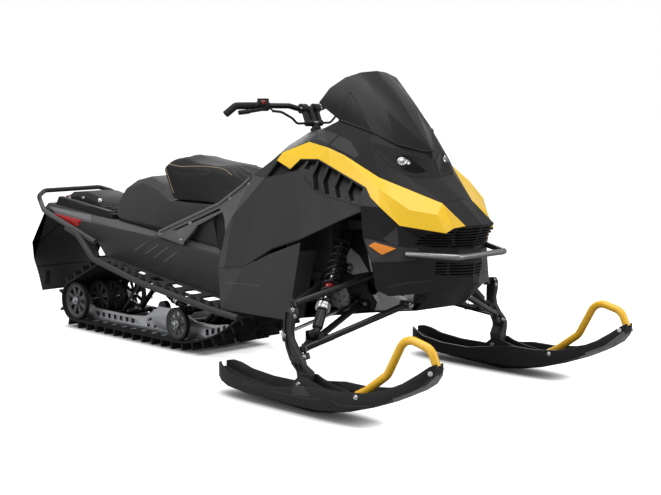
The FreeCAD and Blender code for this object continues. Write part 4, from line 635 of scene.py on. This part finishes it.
# %% Bolts
STRUT_FACE = 0.2195
ARM_LINE = 0.1653
ARM_FRONT = 0.022
SKI_MIDDLE = 0.5385
STRUT_SPOTS = ((-0.405, 0.506), (-0.265, 0.491), (-0.200, 0.566), (0.070, 0.500), (0.060, 0.690), (0.180, 0.752))
ARM_SPOTS = ((0.985, 0.352), (0.756, 0.332), (0.880, 0.470), (0.672, 0.462))
# Each row is how far forward and how high on the ski, the half width there, and the bolt's radius.
SKI_SPOTS = ((1.130, 0.060, 0.018, 0.006), (1.118, 0.082, 0.018, 0.006), (0.851, 0.097, 0.040, 0.008))
SKI_SPOTS += ((1.452, 0.226, 0.017, 0.006),)


def bolt(spot, out, wide):
    spot = Vector(spot)
    out = Vector(out).normalized()
    rim = [(0, wide * 1.3), (wide * 0.22, wide * 1.3), (wide * 0.28, wide * 1.2)]
    washer = turned("washer", rim, spot - out * 0.001, spot + out)
    head = turned("head", [(0, wide), (wide * 0.85, wide), (wide, wide * 0.82)], spot, spot + out, sides=6, angle=20)
    return [washer, head]


chassis_bolts = []
for x, z in STRUT_SPOTS:
    for side in (-1, 1):
        chassis_bolts += bolt((x, side * STRUT_FACE, z), (0, side, 0), 0.006)
for x, z in ARM_SPOTS:
    for side in (-1, 1):
        chassis_bolts += bolt((x + ARM_FRONT, side * ARM_LINE, z), (1, 0, 0), 0.008)
dressed(joined("chassis_bolts", chassis_bolts), "chassis", "axle_steel")
for side, tag in ((-1, "right"), (1, "left")):
    ski_bolts = []
    for x, z, half, wide in SKI_SPOTS:
        for face in (-half, half):
            ski_bolts += bolt((x, side * SKI_MIDDLE + face, z), (0, face, 0), wide)
    dressed(joined("ski_bolts_" + tag, ski_bolts), "ski_%s_body" % tag, "axle_steel")
print("bolts placed")

# %% [markdown]
# Shut lines, inset panels and lenses lie on the body's facets. Each is cut out of a copy of the facet itself, between
# sight lines from the place the photograph was taken, and is raised by a hair. So it sits on its panel from any side.

# %% Sight lines
EYE = Vector((4.404, -3.881, 1.169))
EYE_TURN = Euler((math.radians(90 - 6.863), 0, math.radians(45.756)))
FOCAL = 1398.54
MIDDLE_U, MIDDLE_V = 330.5, 247.5


def sight(u, v):
    """The direction from the camera through a pixel of the photograph."""
    line = Vector(((u - MIDDLE_U) / FOCAL, (MIDDLE_V - v) / FOCAL, -1))
    line.rotate(EYE_TURN)
    return line.normalized()


def spot_on(carrier, u, v):
    """Where the sight line through a pixel meets a piece, with the direction its face looks, or None."""
    bpy.context.view_layer.update()
    found, spot, normal, face = carrier.ray_cast(EYE, sight(u, v))
    if found:
        return spot, normal
    print("%s: nothing at %.1f, %.1f" % (carrier.name, u, v))
    return None


# Measured regions of the photograph: the pixel of the corner, and how many units make a pixel.
NOSE = ((270, 60), 7.841)
BAY = ((270, 200), 7.291)
REAR = ((25, 180), 6.672)
PAN = ((270, 200), 7.465)
HOOD = ((300, 60), 6.82)
SKI = ((210, 330), 6.533)
FAR_SKI = ((400, 200), 6.533)
SEAT = ((145, 95), 9.8)


def pixels(region, corners):
    (u, v), scale = region
    return [(u + x / scale, v + y / scale) for x, y in corners]


# %% Cutting a piece out of a panel
SUNK = 0.0006
THIN = 0.0006
SEAM_LIFT = 0.0005
PANEL_LIFT = 0.0008
PLATE_LIFT = 0.0022
NEAR = 0.12
FAR = 0.3
OVERLAP = 0.2


def cut_out(name, carrier, corners, lift, depth=NEAR):
    """The part of a carrier's facets between the corner pixels, within a depth of their middle, or None."""
    middle = Vector((sum(u for u, v in corners), sum(v for u, v in corners))) / len(corners)
    met = spot_on(carrier, *middle)
    if met is None:
        return None
    reach = (met[0] - EYE).length
    piece = bare_copy(carrier, name)
    inside = sight(*middle)
    open_mesh(piece, "FACE")
    for a, b in zip(corners, corners[1:] + corners[:1]):
        out = sight(*a).cross(sight(*b)).normalized()
        if out.dot(inside) > 0:
            out = -out
        bpy.ops.mesh.select_all(action="SELECT")
        bpy.ops.mesh.bisect(plane_co=EYE, plane_no=out, clear_outer=True)

    def unseen(face):
        towards = EYE - face.center
        return face.normal.dot(towards) <= 0 or abs(towards.length - reach) > depth

    pick_faces(piece, unseen)
    bpy.ops.mesh.delete(type="FACE")
    close_mesh()
    use_modifier(piece, "SOLIDIFY", thickness=lift + SUNK, offset=lift / (lift + SUNK) * 2 - 1)
    smooth(piece)
    return piece


def laid_on(name, node, region, corners, slot, lift=PANEL_LIFT, depth=NEAR, look=None):
    """A thin panel on a node, with its mirror copy."""
    piece = cut_out(name, skins.get(node, nodes[node]), pixels(region, corners), lift, depth)
    if piece:
        dressed_pair(piece, node, slot, look=look)


def seam(name, node, region, line, slot="trim_black", wide=1.1, lift=SEAM_LIFT, mirror=True):
    """A thin line along a node's panel from point to point, as many pixels wide as wide says."""
    line = pixels(region, line)
    parts = []
    for (u0, v0), (u1, v1) in zip(line, line[1:]):
        length = math.hypot(u1 - u0, v1 - v0)
        du = (v1 - v0) / length * wide / 2
        dv = (u0 - u1) / length * wide / 2
        eu = (u1 - u0) / length * OVERLAP
        ev = (v1 - v0) / length * OVERLAP
        corners = [(u0 - eu + du, v0 - ev + dv), (u1 + eu + du, v1 + ev + dv)]
        corners += [(u1 + eu - du, v1 + ev - dv), (u0 - eu - du, v0 - ev - dv)]
        parts.append(cut_out(name, skins[node], corners, lift))
    parts = [part for part in parts if part]
    if parts:
        dressed_pair(joined(name, parts), node, slot, mirror)


def bolts_on(name, node, region, spots, slot, wide):
    """Bolt heads where sight lines meet a node, with their mirror copies."""
    parts = []
    for u, v in pixels(region, spots):
        met = spot_on(skins.get(node, nodes[node]), u, v)
        if met:
            parts += bolt(*met, wide)
    if parts:
        dressed_pair(joined(name, parts), node, slot)


print("cutting ready")

# %% [markdown]
# The nose carries a lighter band round its amber reflector, darker at its right end as painted shade, a small light
# facet above it that is a painted highlight, and dark shut lines. Two lighter insets and a shut line lie on the hood.

# %% Nose panels and seams
for row in (
    ("nose_band_a", "nose_pan", PAN, ((700, 285), (850, 318), (985, 352), (1000, 458), (760, 466)), "panel_grey", THIN),
    # The darker right end of the band is painted shade.
    ("nose_band_shade", "nose_pan", PAN, ((985, 352), (1110, 366), (1090, 450), (1000, 458)), "base_grey", SEAM_LIFT),
    # The light facet is a painted highlight on the nose pan.
    ("nose_facet_highlight", "nose_pan", PAN, ((842, 292), (950, 200), (960, 338), (900, 322)), "panel_grey", THIN),
    ("hood_inset_a", "hood", HOOD, ((112, 540), (187, 480), (262, 512), (196, 574)), "base_grey"),
    ("hood_inset_b", "hood", HOOD, ((204, 580), (270, 518), (345, 552), (402, 645), (380, 668)), "base_grey"),
):
    laid_on(*row)
seam("nose_seam_high", "nose_pan", PAN, ((700, 274), (850, 306), (985, 343), (1110, 358), (1230, 350)))
seam("nose_seam_low", "nose_pan", PAN, ((758, 474), (1000, 466), (1120, 455)))
seam("nose_seam_edge", "nose_pan", PAN, ((940, 190), (838, 292)))
seam("hood_seam", "hood", HOOD, ((265, 425), (345, 470), (420, 640), (395, 690)))
print("nose panels laid")

# %% [markdown]
# Behind the slats of both grilles runs a dark duct wall. A black rubber gasket fills the joint under the windshield.

# %% Grille backs and gasket
DUCT_THICK = 0.003
GASKET = 0.0042


def bent_wall(name, plan, low, high):
    """An upright wall whose plan is a list of (forward, half width) corners, on both sides."""
    line = [(x, -y) for x, y in plan] + [(x, y) for x, y in reversed(plan)]
    last = len(line) - 1
    piece = started(name, bpy.ops.mesh.primitive_grid_add, x_subdivisions=last, y_subdivisions=1, size=2)
    for vertex in piece.data.vertices:
        step = round((vertex.co.x + 1) / 2 * last)
        vertex.co = (*line[step], high if vertex.co.y > 0 else low)
    use_modifier(piece, "SOLIDIFY", thickness=DUCT_THICK)
    turn_outward(piece)
    return dressed(piece, "chassis", "trim_black")


def tube_along(name, points, radius, smooth_line=True):
    """A round bar or bead whose line follows the points."""
    curve = bpy.data.curves.new(name, "CURVE")
    curve.dimensions = "3D"
    line = curve.splines.new("NURBS" if smooth_line else "POLY")
    line.points.add(len(points) - 1)
    for point, spot in zip(line.points, points):
        point.co = (*spot, 1)
    if smooth_line:
        line.order_u = 3
        line.use_endpoint_u = True
    curve.bevel_depth = radius
    curve.bevel_resolution = 3
    curve.resolution_u = 6
    curve.use_fill_caps = True
    piece = bpy.data.objects.new(name, curve)
    bpy.context.scene.collection.objects.link(piece)
    select_only(piece)
    bpy.ops.object.convert(target="MESH")
    piece = bpy.context.object
    turn_outward(piece, FINE_WELD)
    smooth(piece, COIL_CREASE)
    return piece


bent_wall("duct_wall_high", ((1.006, 0.212), (1.056, 0.118), (1.110, 0.052)), 0.552, 0.646)
bent_wall("duct_wall_low", ((1.044, 0.138), (1.078, 0.098), (1.118, 0.045)), 0.448, 0.524)
rim = [(0.682, 0.212, 1.0187), (0.811, 0.167, 0.975), (0.874, 0.104, 0.9297), (0.936, 0.028, 0.9048)]
rim = rim + [(0.958, 0, 0.9044)] + [(x, -y, z) for x, y, z in reversed(rim)]
dressed(tube_along("screen_gasket", rim, GASKET, smooth_line=False), "chassis", "trim_black")
print("duct walls and gasket made")

# %% [markdown]
# Each headlamp is a deep black lens with two small bright projectors behind its lower edge.

# %% Headlamp projectors
projector_finish = metal("lamp_projector", (0.36, 0.36, 0.37), (0.18, 0.30), stretch=(40, 40, 2), scale=30)


def projector(u, v, wide):
    spot, normal = spot_on(nodes["headlamps"], u, v)
    steps = [(-0.003, wide), (0.0012, wide), (0.0026, wide * 0.82), (0.0020, wide * 0.72)]
    steps += [(0.0036, wide * 0.45), (0.0040, wide * 0.15)]
    return turned("projector", steps, spot, spot + normal, sides=32)


lamp_eyes = joined("lamp_projectors", [projector(401.8, 161.4, 0.0165), projector(407.4, 162.2, 0.012)])
dressed_pair(lamp_eyes, "headlamps", "bright_alloy", look=projector_finish)
print("projectors: 4")

# %% [markdown]
# A bent steel clip sits at even steps along each edge of the track's belt, on its inside.

# %% Track clips
# The arcs of the belt in the side view: each is its centre and the radius of the belt's inside.
LOOP = [((-1.132, 0.127), 0.088), ((-0.385, 0.779), 0.740), ((0.100, 0.305), 0.080), ((-0.627, 0.383), 0.066)]
CLIP_PITCH = 0.072
CLIP_LINE = 0.140
CLIP_SIZE = (0.020, 0.034, 0.003)
CLIP_LIFT = 0.0012


def loop_steps(pitch):
    """Places and directions along the inside of the belt, in the side view."""
    runs = []
    for k in range(4):
        (c1, r1), (c2, r2) = LOOP[k], LOOP[(k + 1) % 4]
        across = Vector(c2) - Vector(c1)
        turn = math.atan2(across.y, across.x) + math.asin((r1 - r2) / across.length) - math.pi / 2
        out = Vector((math.cos(turn), math.sin(turn)))
        runs.append((Vector(c1) + out * r1, Vector(c2) + out * r2, out, Vector(c2), r2))
    steps = []
    for k, (start, end, out, centre, radius) in enumerate(runs):
        count = max(1, round((end - start).length / pitch))
        for i in range(count):
            steps.append((start + (end - start) * ((i + 0.5) / count), out))
        first = math.atan2(out.y, out.x)
        next_out = runs[(k + 1) % 4][2]
        sweep = (math.atan2(next_out.y, next_out.x) - first) % math.tau
        count = max(1, round(sweep * radius / pitch))
        for i in range(count):
            turn = first + sweep * (i + 0.5) / count
            out_here = Vector((math.cos(turn), math.sin(turn)))
            steps.append((centre + out_here * radius, out_here))
    return steps


def make_clip():
    """A small plate with both ends drawn in, and its edges rounded."""
    clip = started("clip", bpy.ops.mesh.primitive_cube_add, size=1)
    clip.scale = CLIP_SIZE
    settle(clip)
    open_mesh(clip, "FACE")
    pick_faces(clip, lambda face: abs(face.normal.y) > 0.9)
    bpy.ops.mesh.extrude_faces_move(TRANSFORM_OT_shrink_fatten={"value": -0.005})
    close_mesh()
    use_modifier(clip, "BEVEL", width=0.0008, segments=1)
    return clip


clip = make_clip()
clips = []
for step, out in loop_steps(CLIP_PITCH):
    inward = Vector((-out.x, 0, -out.y))
    ahead = Vector((inward.z, 0, -inward.x))
    turn = Matrix((ahead, Y_AXIS, inward)).transposed().to_4x4()
    for y in (-CLIP_LINE, CLIP_LINE):
        copy = bare_copy(clip, "clip_copy")
        copy.matrix_world = Matrix.Translation(Vector((step.x, y, step.y)) + inward * CLIP_LIFT) @ turn
        settle(copy)
        clips.append(copy)
bpy.data.objects.remove(clip)
dressed(joined("track_clips", clips), "chassis", "axle_steel")
print("track clips:", len(clips))

# %% [markdown]
# The same cutting makes the smaller pieces. First come the dark wells of the headlamps, the creases of the windshield,
# drawn as dark lines of painted shade, and a dark line along the upper edge of the side panels.

# %% Lamp wells, creases and panel edge
LAMP_WELL = ((985, 760), (1040, 742), (1130, 752), (1255, 800), (1262, 868), (1150, 890), (1040, 862))
laid_on("lamp_well", "headlamps", NOSE, LAMP_WELL, "lamp_clear", 0.0007)
# The windshield creases are dark lines of painted shade along the folds.
seam("screen_crease", "windshield", NOSE, ((630, 250), (725, 395), (815, 535)), wide=1.2)
seam("screen_crease_low", "windshield", NOSE, ((628, 252), (575, 340), (537, 420)), wide=1.2)
seam("side_edge", "side_panels", BAY, ((10, 356), (225, 286), (450, 184), (650, 90)), wide=1.8)
print("wells and creases laid")

# %% [markdown]
# The tunnel has a lighter shoulder, which is a painted highlight where its upper edge faces the lamps, four pressed
# ribs drawn as lighter lines of painted highlight, and a wide red reflector. The snow flap has folds drawn as dark
# lines of painted shade, and a slot.

# %% Tunnel, strut and flap details
SHOULDER_HIGHLIGHT_B = ((440, 234), (640, 272), (885, 336), (862, 376), (440, 286))
SHOULDER_HIGHLIGHT_C = ((1075, 430), (1112, 392), (1296, 447), (1294, 492))
REFLECTOR = ((196, 226), (255, 234), (380, 269), (354, 311), (292, 288))
RIB_HIGHLIGHTS = (((735, 470), (805, 419)), ((805, 492), (895, 430)), ((866, 515), (956, 450)), ((930, 545), (1015, 482)))
# The lighter shoulder patches are painted highlight where the tunnel's upper edge faces the lamps.
laid_on("shoulder_highlight_a", "tunnel", REAR, ((165, 176), (440, 234), (440, 286), (212, 228)), "strut_grey", THIN)
laid_on("shoulder_highlight_b", "tunnel", REAR, SHOULDER_HIGHLIGHT_B, "bumper_grey", THIN, FAR)
laid_on("shoulder_highlight_c", "tunnel", REAR, SHOULDER_HIGHLIGHT_C, "bumper_grey", THIN)
# Each pressed rib is drawn as a lighter raised line, a painted highlight on its edge.
for tag, line in enumerate(RIB_HIGHLIGHTS):
    seam("tunnel_rib_%d" % tag, "tunnel", REAR, line, "bumper_grey", wide=1.7, lift=0.0014)
laid_on("reflector_wide", "tunnel", REAR, REFLECTOR, "reflector_red", 0.0012)
seam("strut_seam", "frame_struts", REAR, ((1062, 420), (1160, 300)), wide=1.4)
# The two folds are dark lines of painted shade along the flap's creases.
for name, line, wide in (
    ("flap_fold", ((85, 577), (250, 560), (400, 545)), 1.2),
    ("flap_slot", ((155, 605), (150, 690)), 4.5),
    ("flap_fold_high", ((95, 410), (230, 300)), 1.4),
):
    seam(name, "snow_flap", REAR, line, wide=wide, mirror=False)
print("tunnel and flap details laid")

# %% [markdown]
# Behind the front shock the bay shows a dark liner, which is painted shade laid where the bay lies in shadow, two light
# cast plates, a black box and a drilled heat shield whose holes are black patches of painted shade. Each stands a
# little further out than the one under it.

# %% Front bay
BAY_SHADE_LINER = ((470, 215), (680, 215), (752, 600), (700, 640), (560, 830), (300, 840))
PLATE_HIGH = ((592, 350), (655, 405), (722, 522), (605, 545), (515, 492))
PLATE_LOW = ((690, 585), (735, 580), (770, 660), (1000, 745), (990, 765), (755, 835))
BAY_BOX = ((570, 640), (690, 600), (780, 745), (750, 838), (650, 815), (590, 770))
SHIELD = ((452, 690), (560, 640), (600, 765), (470, 815))
HOLES = ((0, 505, 682), (1, 478, 722), (2, 545, 700), (4, 530, 772), (5, 562, 742), (6, 516, 735))
HOLE = 8
BOX_LIFT, SHIELD_LIFT, HOLE_LIFT = 0.003, 0.004, 0.0046
plate_paint = coated("cast_plate", (0.24, 0.24, 0.245), 1.15, (0.45, 0.6), grain=600, strength=0.5)
# The liner is painted shade: a black sheet over the bulkhead where the bay is in shadow.
laid_on("bay_shade_liner", "bulkhead", BAY, BAY_SHADE_LINER, "trim_black", THIN, 0.35)
for name, corners, slot, lift, look in (
    ("bay_plate_high", PLATE_HIGH, "cast_alloy", PLATE_LIFT, plate_paint),
    ("bay_plate_low", PLATE_LOW, "cast_alloy", PLATE_LIFT, plate_paint),
    ("bay_box", BAY_BOX, "trim_black", BOX_LIFT, None),
    ("heat_shield", SHIELD, "cast_alloy", SHIELD_LIFT, plate_paint),
):
    laid_on(name, "bulkhead", BAY, corners, slot, lift, FAR, look)
# The holes are black patches of painted shade, with no opening cut.
for tag, x, y in HOLES:
    corners = ((x - HOLE, y), (x, y - HOLE), (x + HOLE, y), (x, y + HOLE))
    laid_on("shield_hole_%d" % tag, "bulkhead", BAY, corners, "trim_black", HOLE_LIFT, FAR)
seam("pan_lip", "nose_pan", BAY, ((850, 640), (1000, 604), (1180, 590)), "base_grey", wide=0.9)
print("front bay laid")

# %% [markdown]
# The skis have a light skid band along the lower edge, which is the wear bar with a painted highlight on it, a raised
# saddle plate, a long light line that is a painted highlight along the side's chamfer, and a few grooves, two of them
# dark lines of painted shade. Bright bolts pass through their sides, and duller ones through the spindles and the
# handlebar's clamp.

# %% Ski details and joint bolts
# Each skid band is a line of points along its lower edge and one along its upper edge.
SKID = ((900, 1474), (1044, 1430), (1158, 1374), (1242, 1300)), ((895, 1450), (1030, 1402), (1140, 1348), (1226, 1272))
INNER_SKID = ((1215, 1012), (1350, 980), (1476, 884)), ((1208, 998), (1335, 952), (1462, 858))
SKI_CHAMFER_HIGHLIGHT = ((215, 345), (450, 408), (640, 452), (765, 446), (850, 496), (1040, 500))
SPINDLE_SPOTS = ((165, 800), (240, 1085), (250, 1145), (105, 990), (180, 850))


def skid_band(name, node, region, low, high):
    for tag in range(len(low) - 1):
        corners = (low[tag], high[tag], high[tag + 1], low[tag + 1])
        laid_on("%s_%d" % (name, tag), node, region, corners, "strut_grey", THIN)


# The skid band's light grey is partly a painted highlight along the wear bar.
skid_band("ski_skid", "ski_right", BAY, *SKID)
# The long light line is a painted highlight along the chamfer of the ski's side.
seam("ski_line", "ski_right", SKI, SKI_CHAMFER_HIGHLIGHT, "base_grey", wide=1.0)
laid_on("ski_saddle", "ski_right", SKI, ((540, 352), (600, 345), (655, 432), (540, 424)), "panel_grey", THIN)
seam("ski_groove_c", "ski_right", SKI, ((660, 375), (700, 385), (860, 425)), "base_grey", wide=0.8)
# The inner skid band is likewise partly a painted highlight along the wear bar.
skid_band("ski_skid_inner", "ski_left", FAR_SKI, *INNER_SKID)
bolts_on("ski_inner_bolts", "ski_left", FAR_SKI, ((972, 1004), (1432, 850)), "bright_alloy", 0.0065)
# The two dark grooves are painted shade: dark lines, with no cut in the ski.
seam("ski_groove_a", "ski_right", BAY, ((375, 1440), (445, 1518)))
seam("ski_groove_b", "ski_right", BAY, ((415, 1440), (490, 1520)))
bolts_on("ski_side_bolts", "ski_right", BAY, ((625, 1440), (1168, 1268)), "bright_alloy", 0.0065)
bolts_on("spindle_bolts", "spindle_right", BAY, SPINDLE_SPOTS, "axle_steel", 0.006)
bolts_on("clamp_bolts", "handlebar", NOSE, ((245, 380), (355, 490)), "axle_steel", 0.0045)
print("ski details laid")

# %% [markdown]
# The intake vents are deep openings between dark blades. Each opening is a slanted, nearly black slot laid on the vent:
# painted shade for the dark depth of the opening.

# %% Vent slots
VENTS = (
    ((378, 812), (348, 905), (358, 1012)), ((458, 852), (428, 942), (440, 1044)), ((548, 896), (518, 998), (530, 1072)),
    ((644, 960), (622, 1032), (638, 1096)), ((300, 806), (278, 850)),
)
SLOT_WIDE = 26
# The slot colour is painted shade: the vent's openings are dark only from their depth.
deep = coated("vent_painted_shade", (0.0025, 0.0025, 0.0028), 1.3, (0.65, 0.8), specular=0.05)
for tag, line in enumerate(VENTS):
    for step, ((x0, y0), (x1, y1)) in enumerate(zip(line, line[1:])):
        corners = ((x0, y0), (x0 + SLOT_WIDE, y0 + 12), (x1 + SLOT_WIDE, y1 + 10), (x1, y1))
        laid_on("vent_slot_%d_%d" % (tag, step), "intake_vents", NOSE, corners, "trim_black", look=deep)
print("vent slots cut")

# %% [markdown]
# The rear deck has two folds, a slot and bright studs for a rack. The arms of the rear suspension are bolted at their
# ends, and a crease along the lower panel is drawn as a lighter line, a painted highlight.

# %% Rear deck and suspension details
# The crease's lighter line is a painted highlight on the lower panel.
seam("panel_crease_highlight", "lower_panels", REAR, ((1338, 683), (1470, 696), (1566, 706)), "bumper_grey", wide=0.9)
seam("deck_fold_a", "rear_deck", REAR, ((345, 152), (470, 182), (600, 212)), "base_grey", wide=1.0)
seam("deck_fold_b", "rear_deck", REAR, ((300, 140), (420, 175)), "base_grey", wide=0.9)
seam("deck_slot", "rear_deck", REAR, ((395, 186), (455, 200)), wide=2.2)
bolts_on("deck_studs", "rear_deck", REAR, ((390, 122), (300, 120), (500, 135)), "bright_alloy", 0.007)
bolts_on("arm_bolts", "suspension_arms", REAR, ((770, 860), (715, 800), (740, 760)), "bright_alloy", 0.006)
print("deck details laid")

# %% [markdown]
# The rider's controls keep a red push button on the right switch block, and a short black lead joins each block to
# the control cable.

# %% Stop button and cable leads
BUTTON = [(-0.001, 0.0062), (0.004, 0.0062), (0.0042, 0.0105), (0.010, 0.0105), (0.0118, 0.0085)]
ABOVE = 1.3
CABLE = 0.0032
DOWN = Vector((0, 0, -1))


def stop_button(u, v):
    """A red push button standing on the top face of the switch block."""
    block = nodes["bar_controls"]
    spot = spot_on(block, u, v)[0]
    found, top, normal, face = block.ray_cast(Vector((spot.x, spot.y - 0.004, ABOVE)), DOWN)
    return dressed(turned("stop_button", BUTTON, top, top - DOWN, sides=28), "steering", "lamp_red")


stop_button(264.5, 103.0)
cable_end = spot_on(nodes["control_cables"], 273.4, 110.9)[0]
block_end = spot_on(nodes["bar_controls"], 267.0, 108.0)[0]
middle = (cable_end + block_end) / 2 + Vector((0, 0, 0.004))
lead = tube_along("cable_lead", [block_end, middle, cable_end, cable_end + (cable_end - middle) * 0.3], CABLE)
dressed_pair(lead, "control_cables", "cable_black")
print("button and leads placed")

# %% [markdown]
# The seat is a foam pad under a stretched vinyl cover. A copy of the frame's block is remeshed finely and blown up a
# little as cloth with its floor held, so its faces crown and its corners stay soft. The piping is sewn on afterwards.

# %% Seat pad
VOXEL = 0.005
SMOOTH_BEFORE = 34
SMOOTH_AFTER = 14
MOST_MOVE = 0.007
SHRINK = 0.004
FLOOR_FACES = -0.4
STEPS = 20
CLOTH = {
    "quality": 5, "mass": 0.3, "tension_stiffness": 25, "compression_stiffness": 25, "shear_stiffness": 10,
    "bending_stiffness": 2, "use_pressure": True, "uniform_pressure_force": 4,
}


def blow_up(pad):
    """Cloth with air pressure, its floor held still and no point moved further than MOST_MOVE."""
    open_mesh(pad)
    bpy.ops.transform.shrink_fatten(value=-SHRINK)
    close_mesh()
    before = [vertex.co.copy() for vertex in pad.data.vertices]
    held = pad.vertex_groups.new(name="floor")
    for vertex in pad.data.vertices:
        if vertex.normal.z < FLOOR_FACES:
            held.add([vertex.index], 1.0, "REPLACE")
    cloth = pad.modifiers.new("Cloth", "CLOTH")
    for key, value in CLOTH.items():
        setattr(cloth.settings, key, value)
    cloth.settings.effector_weights.gravity = 0
    cloth.settings.vertex_group_mass = "floor"
    cloth.point_cache.frame_start = 1
    cloth.point_cache.frame_end = STEPS
    for step in range(1, STEPS + 1):
        bpy.context.scene.frame_set(step)
    select_only(pad)
    bpy.ops.object.modifier_apply(modifier=cloth.name)
    for vertex, start in zip(pad.data.vertices, before):
        move = vertex.co - start
        if move.length > MOST_MOVE:
            vertex.co = start + move.normalized() * MOST_MOVE
    bpy.context.scene.frame_set(1)


def make_seat():
    pad = bare_copy(nodes["seat"], "seat_pad")
    open_mesh(pad)
    bpy.ops.mesh.remove_doubles(threshold=WELD)
    close_mesh()
    use_modifier(pad, "REMESH", mode="VOXEL", voxel_size=VOXEL)
    use_modifier(pad, "SMOOTH", factor=0.5, iterations=SMOOTH_BEFORE)
    blow_up(pad)
    use_modifier(pad, "SMOOTH", factor=0.5, iterations=SMOOTH_AFTER)
    smooth(pad, 180)
    return pad


seat = make_seat()
dressed(seat, body_of["seat"], "seat_vinyl", "seat")
print("seat faces:", len(seat.data.polygons))

# %% Seat piping
SIDE_LINE = [(215, 675), (260, 685), (350, 703), (500, 700), (620, 703), (740, 720), (790, 740), (870, 800)]
REAR_LINE = [(205, 700), (220, 770), (255, 880), (290, 980)]
SAMPLES = 5
piping_finish = coated("seat_piping", (0.25, 0.20, 0.12), 0.85, (0.5, 0.6), grain=1500, specular=0.25)


def piping(name, line, radius):
    """A bead sewn on the cover, which follows its surface closely between the points of the line."""
    line = pixels(SEAT, line)
    spots = []
    for start, end in zip(line, line[1:]):
        for step in range(SAMPLES):
            u = start[0] + (end[0] - start[0]) * step / SAMPLES
            v = start[1] + (end[1] - start[1]) * step / SAMPLES
            met = spot_on(seat, u, v)
            if met:
                spots.append(met[0] + met[1] * PANEL_LIFT)
    dressed_pair(tube_along(name, spots, radius), "seat", "seat_vinyl", look=piping_finish)


piping("piping_side", SIDE_LINE, 0.0019)
piping("piping_rear", REAR_LINE, 0.0014)
print("piping sewn")

# %% [markdown]
# The machine stands on a plain pale floor under large soft lamps, as in a studio. The camera sees the floor glow white
# wherever nothing stands close above it; an occlusion mask dims that glow under the machine, so the dark contact
# shadows are a painted shadow added to the lamps' own.

# %% Floor
FLOOR_DROP = 0.0005
SHADOW_REACH = 0.07
SHADOW_POWER = 2.6
floor = started("studio_floor", bpy.ops.mesh.primitive_plane_add, size=60, location=(0, 0, -FLOOR_DROP))
floor_finish, tree, shader = new_material("studio_floor")
shader.inputs["Base Color"].default_value = (0.38, 0.38, 0.38, 1)
shader.inputs["Roughness"].default_value = 0.8
shader.inputs["Specular IOR Level"].default_value = 0.1
shader.inputs["Emission Color"].default_value = (1, 1, 1, 1)
# The occlusion mask paints the contact shadow into the floor's glow for camera rays.
painted_shadow_mask = add_node(tree, "ShaderNodeAmbientOcclusion", {"Distance": SHADOW_REACH})
shade = add_node(tree, "ShaderNodeMath", {1: SHADOW_POWER})
shade.operation = "POWER"
seen = tree.nodes.new("ShaderNodeLightPath")
glow = tree.nodes.new("ShaderNodeMath")
glow.operation = "MULTIPLY"
wire(
    tree,
    (painted_shadow_mask, "AO", shade, 0), (shade, "Value", glow, 0), (seen, "Is Camera Ray", glow, 1),
    (glow, "Value", shader, "Emission Strength"),
)
floor.data.materials.append(floor_finish)
print("floor laid")

# %% Lamps
def soft_lamp(name, place, target, width, height, power):
    data = bpy.data.lights.new(name, "AREA")
    data.shape = "RECTANGLE"
    data.size = width
    data.size_y = height
    data.energy = power
    lamp = bpy.data.objects.new(name, data)
    bpy.context.scene.collection.objects.link(lamp)
    lamp.location = place
    lamp.rotation_euler = (Vector(target) - Vector(place)).to_track_quat("-Z", "Y").to_euler()


soft_lamp("top_lamp", (0.2, -0.6, 4.2), (0, 0, 0.5), 5.0, 3.5, 170)
soft_lamp("front_lamp", (4.6, 1.6, 2.4), (0.4, 0, 0.6), 2.6, 2.2, 70)
soft_lamp("side_lamp", (-0.8, -5.2, 2.2), (0, 0, 0.5), 4.2, 2.4, 100)
soft_lamp("back_lamp", (-3.5, 3.6, 3.0), (0, 0, 0.6), 3.0, 2.4, 70)
print("lamps: 4")

# %% [markdown]
# The world gives soft light all round, and is plain white where the camera meets it.

# %% World
world = bpy.data.worlds.new("studio")
bpy.context.scene.world = world
world.use_nodes = True
sky = world.node_tree
sky.nodes.clear()
out = sky.nodes.new("ShaderNodeOutputWorld")
soft_sky = add_node(sky, "ShaderNodeBackground", {"Color": (1, 1, 1, 1), "Strength": 0.55})
seen_sky = add_node(sky, "ShaderNodeBackground", {"Color": (1, 1, 1, 1), "Strength": 1.0})
path = sky.nodes.new("ShaderNodeLightPath")
choose = sky.nodes.new("ShaderNodeMixShader")
wire(
    sky,
    (path, "Is Camera Ray", choose, "Fac"), (soft_sky, "Background", choose, 1),
    (seen_sky, "Background", choose, 2), (choose, "Shader", out, "Surface"),
)
print("world set")

# %% [markdown]
# The camera stands ahead and to the right of the machine at shoulder height, with a long lens, as the photograph was
# taken.

# %% Camera
lens_data = bpy.data.cameras.new("camera")
lens_data.lens = 76.17
lens_data.sensor_width = 36
camera = bpy.data.objects.new("camera", lens_data)
bpy.context.scene.collection.objects.link(camera)
camera.location = EYE
camera.rotation_euler = EYE_TURN
bpy.context.scene.camera = camera
bpy.context.scene.view_settings.view_transform = "Standard"
print("camera set")
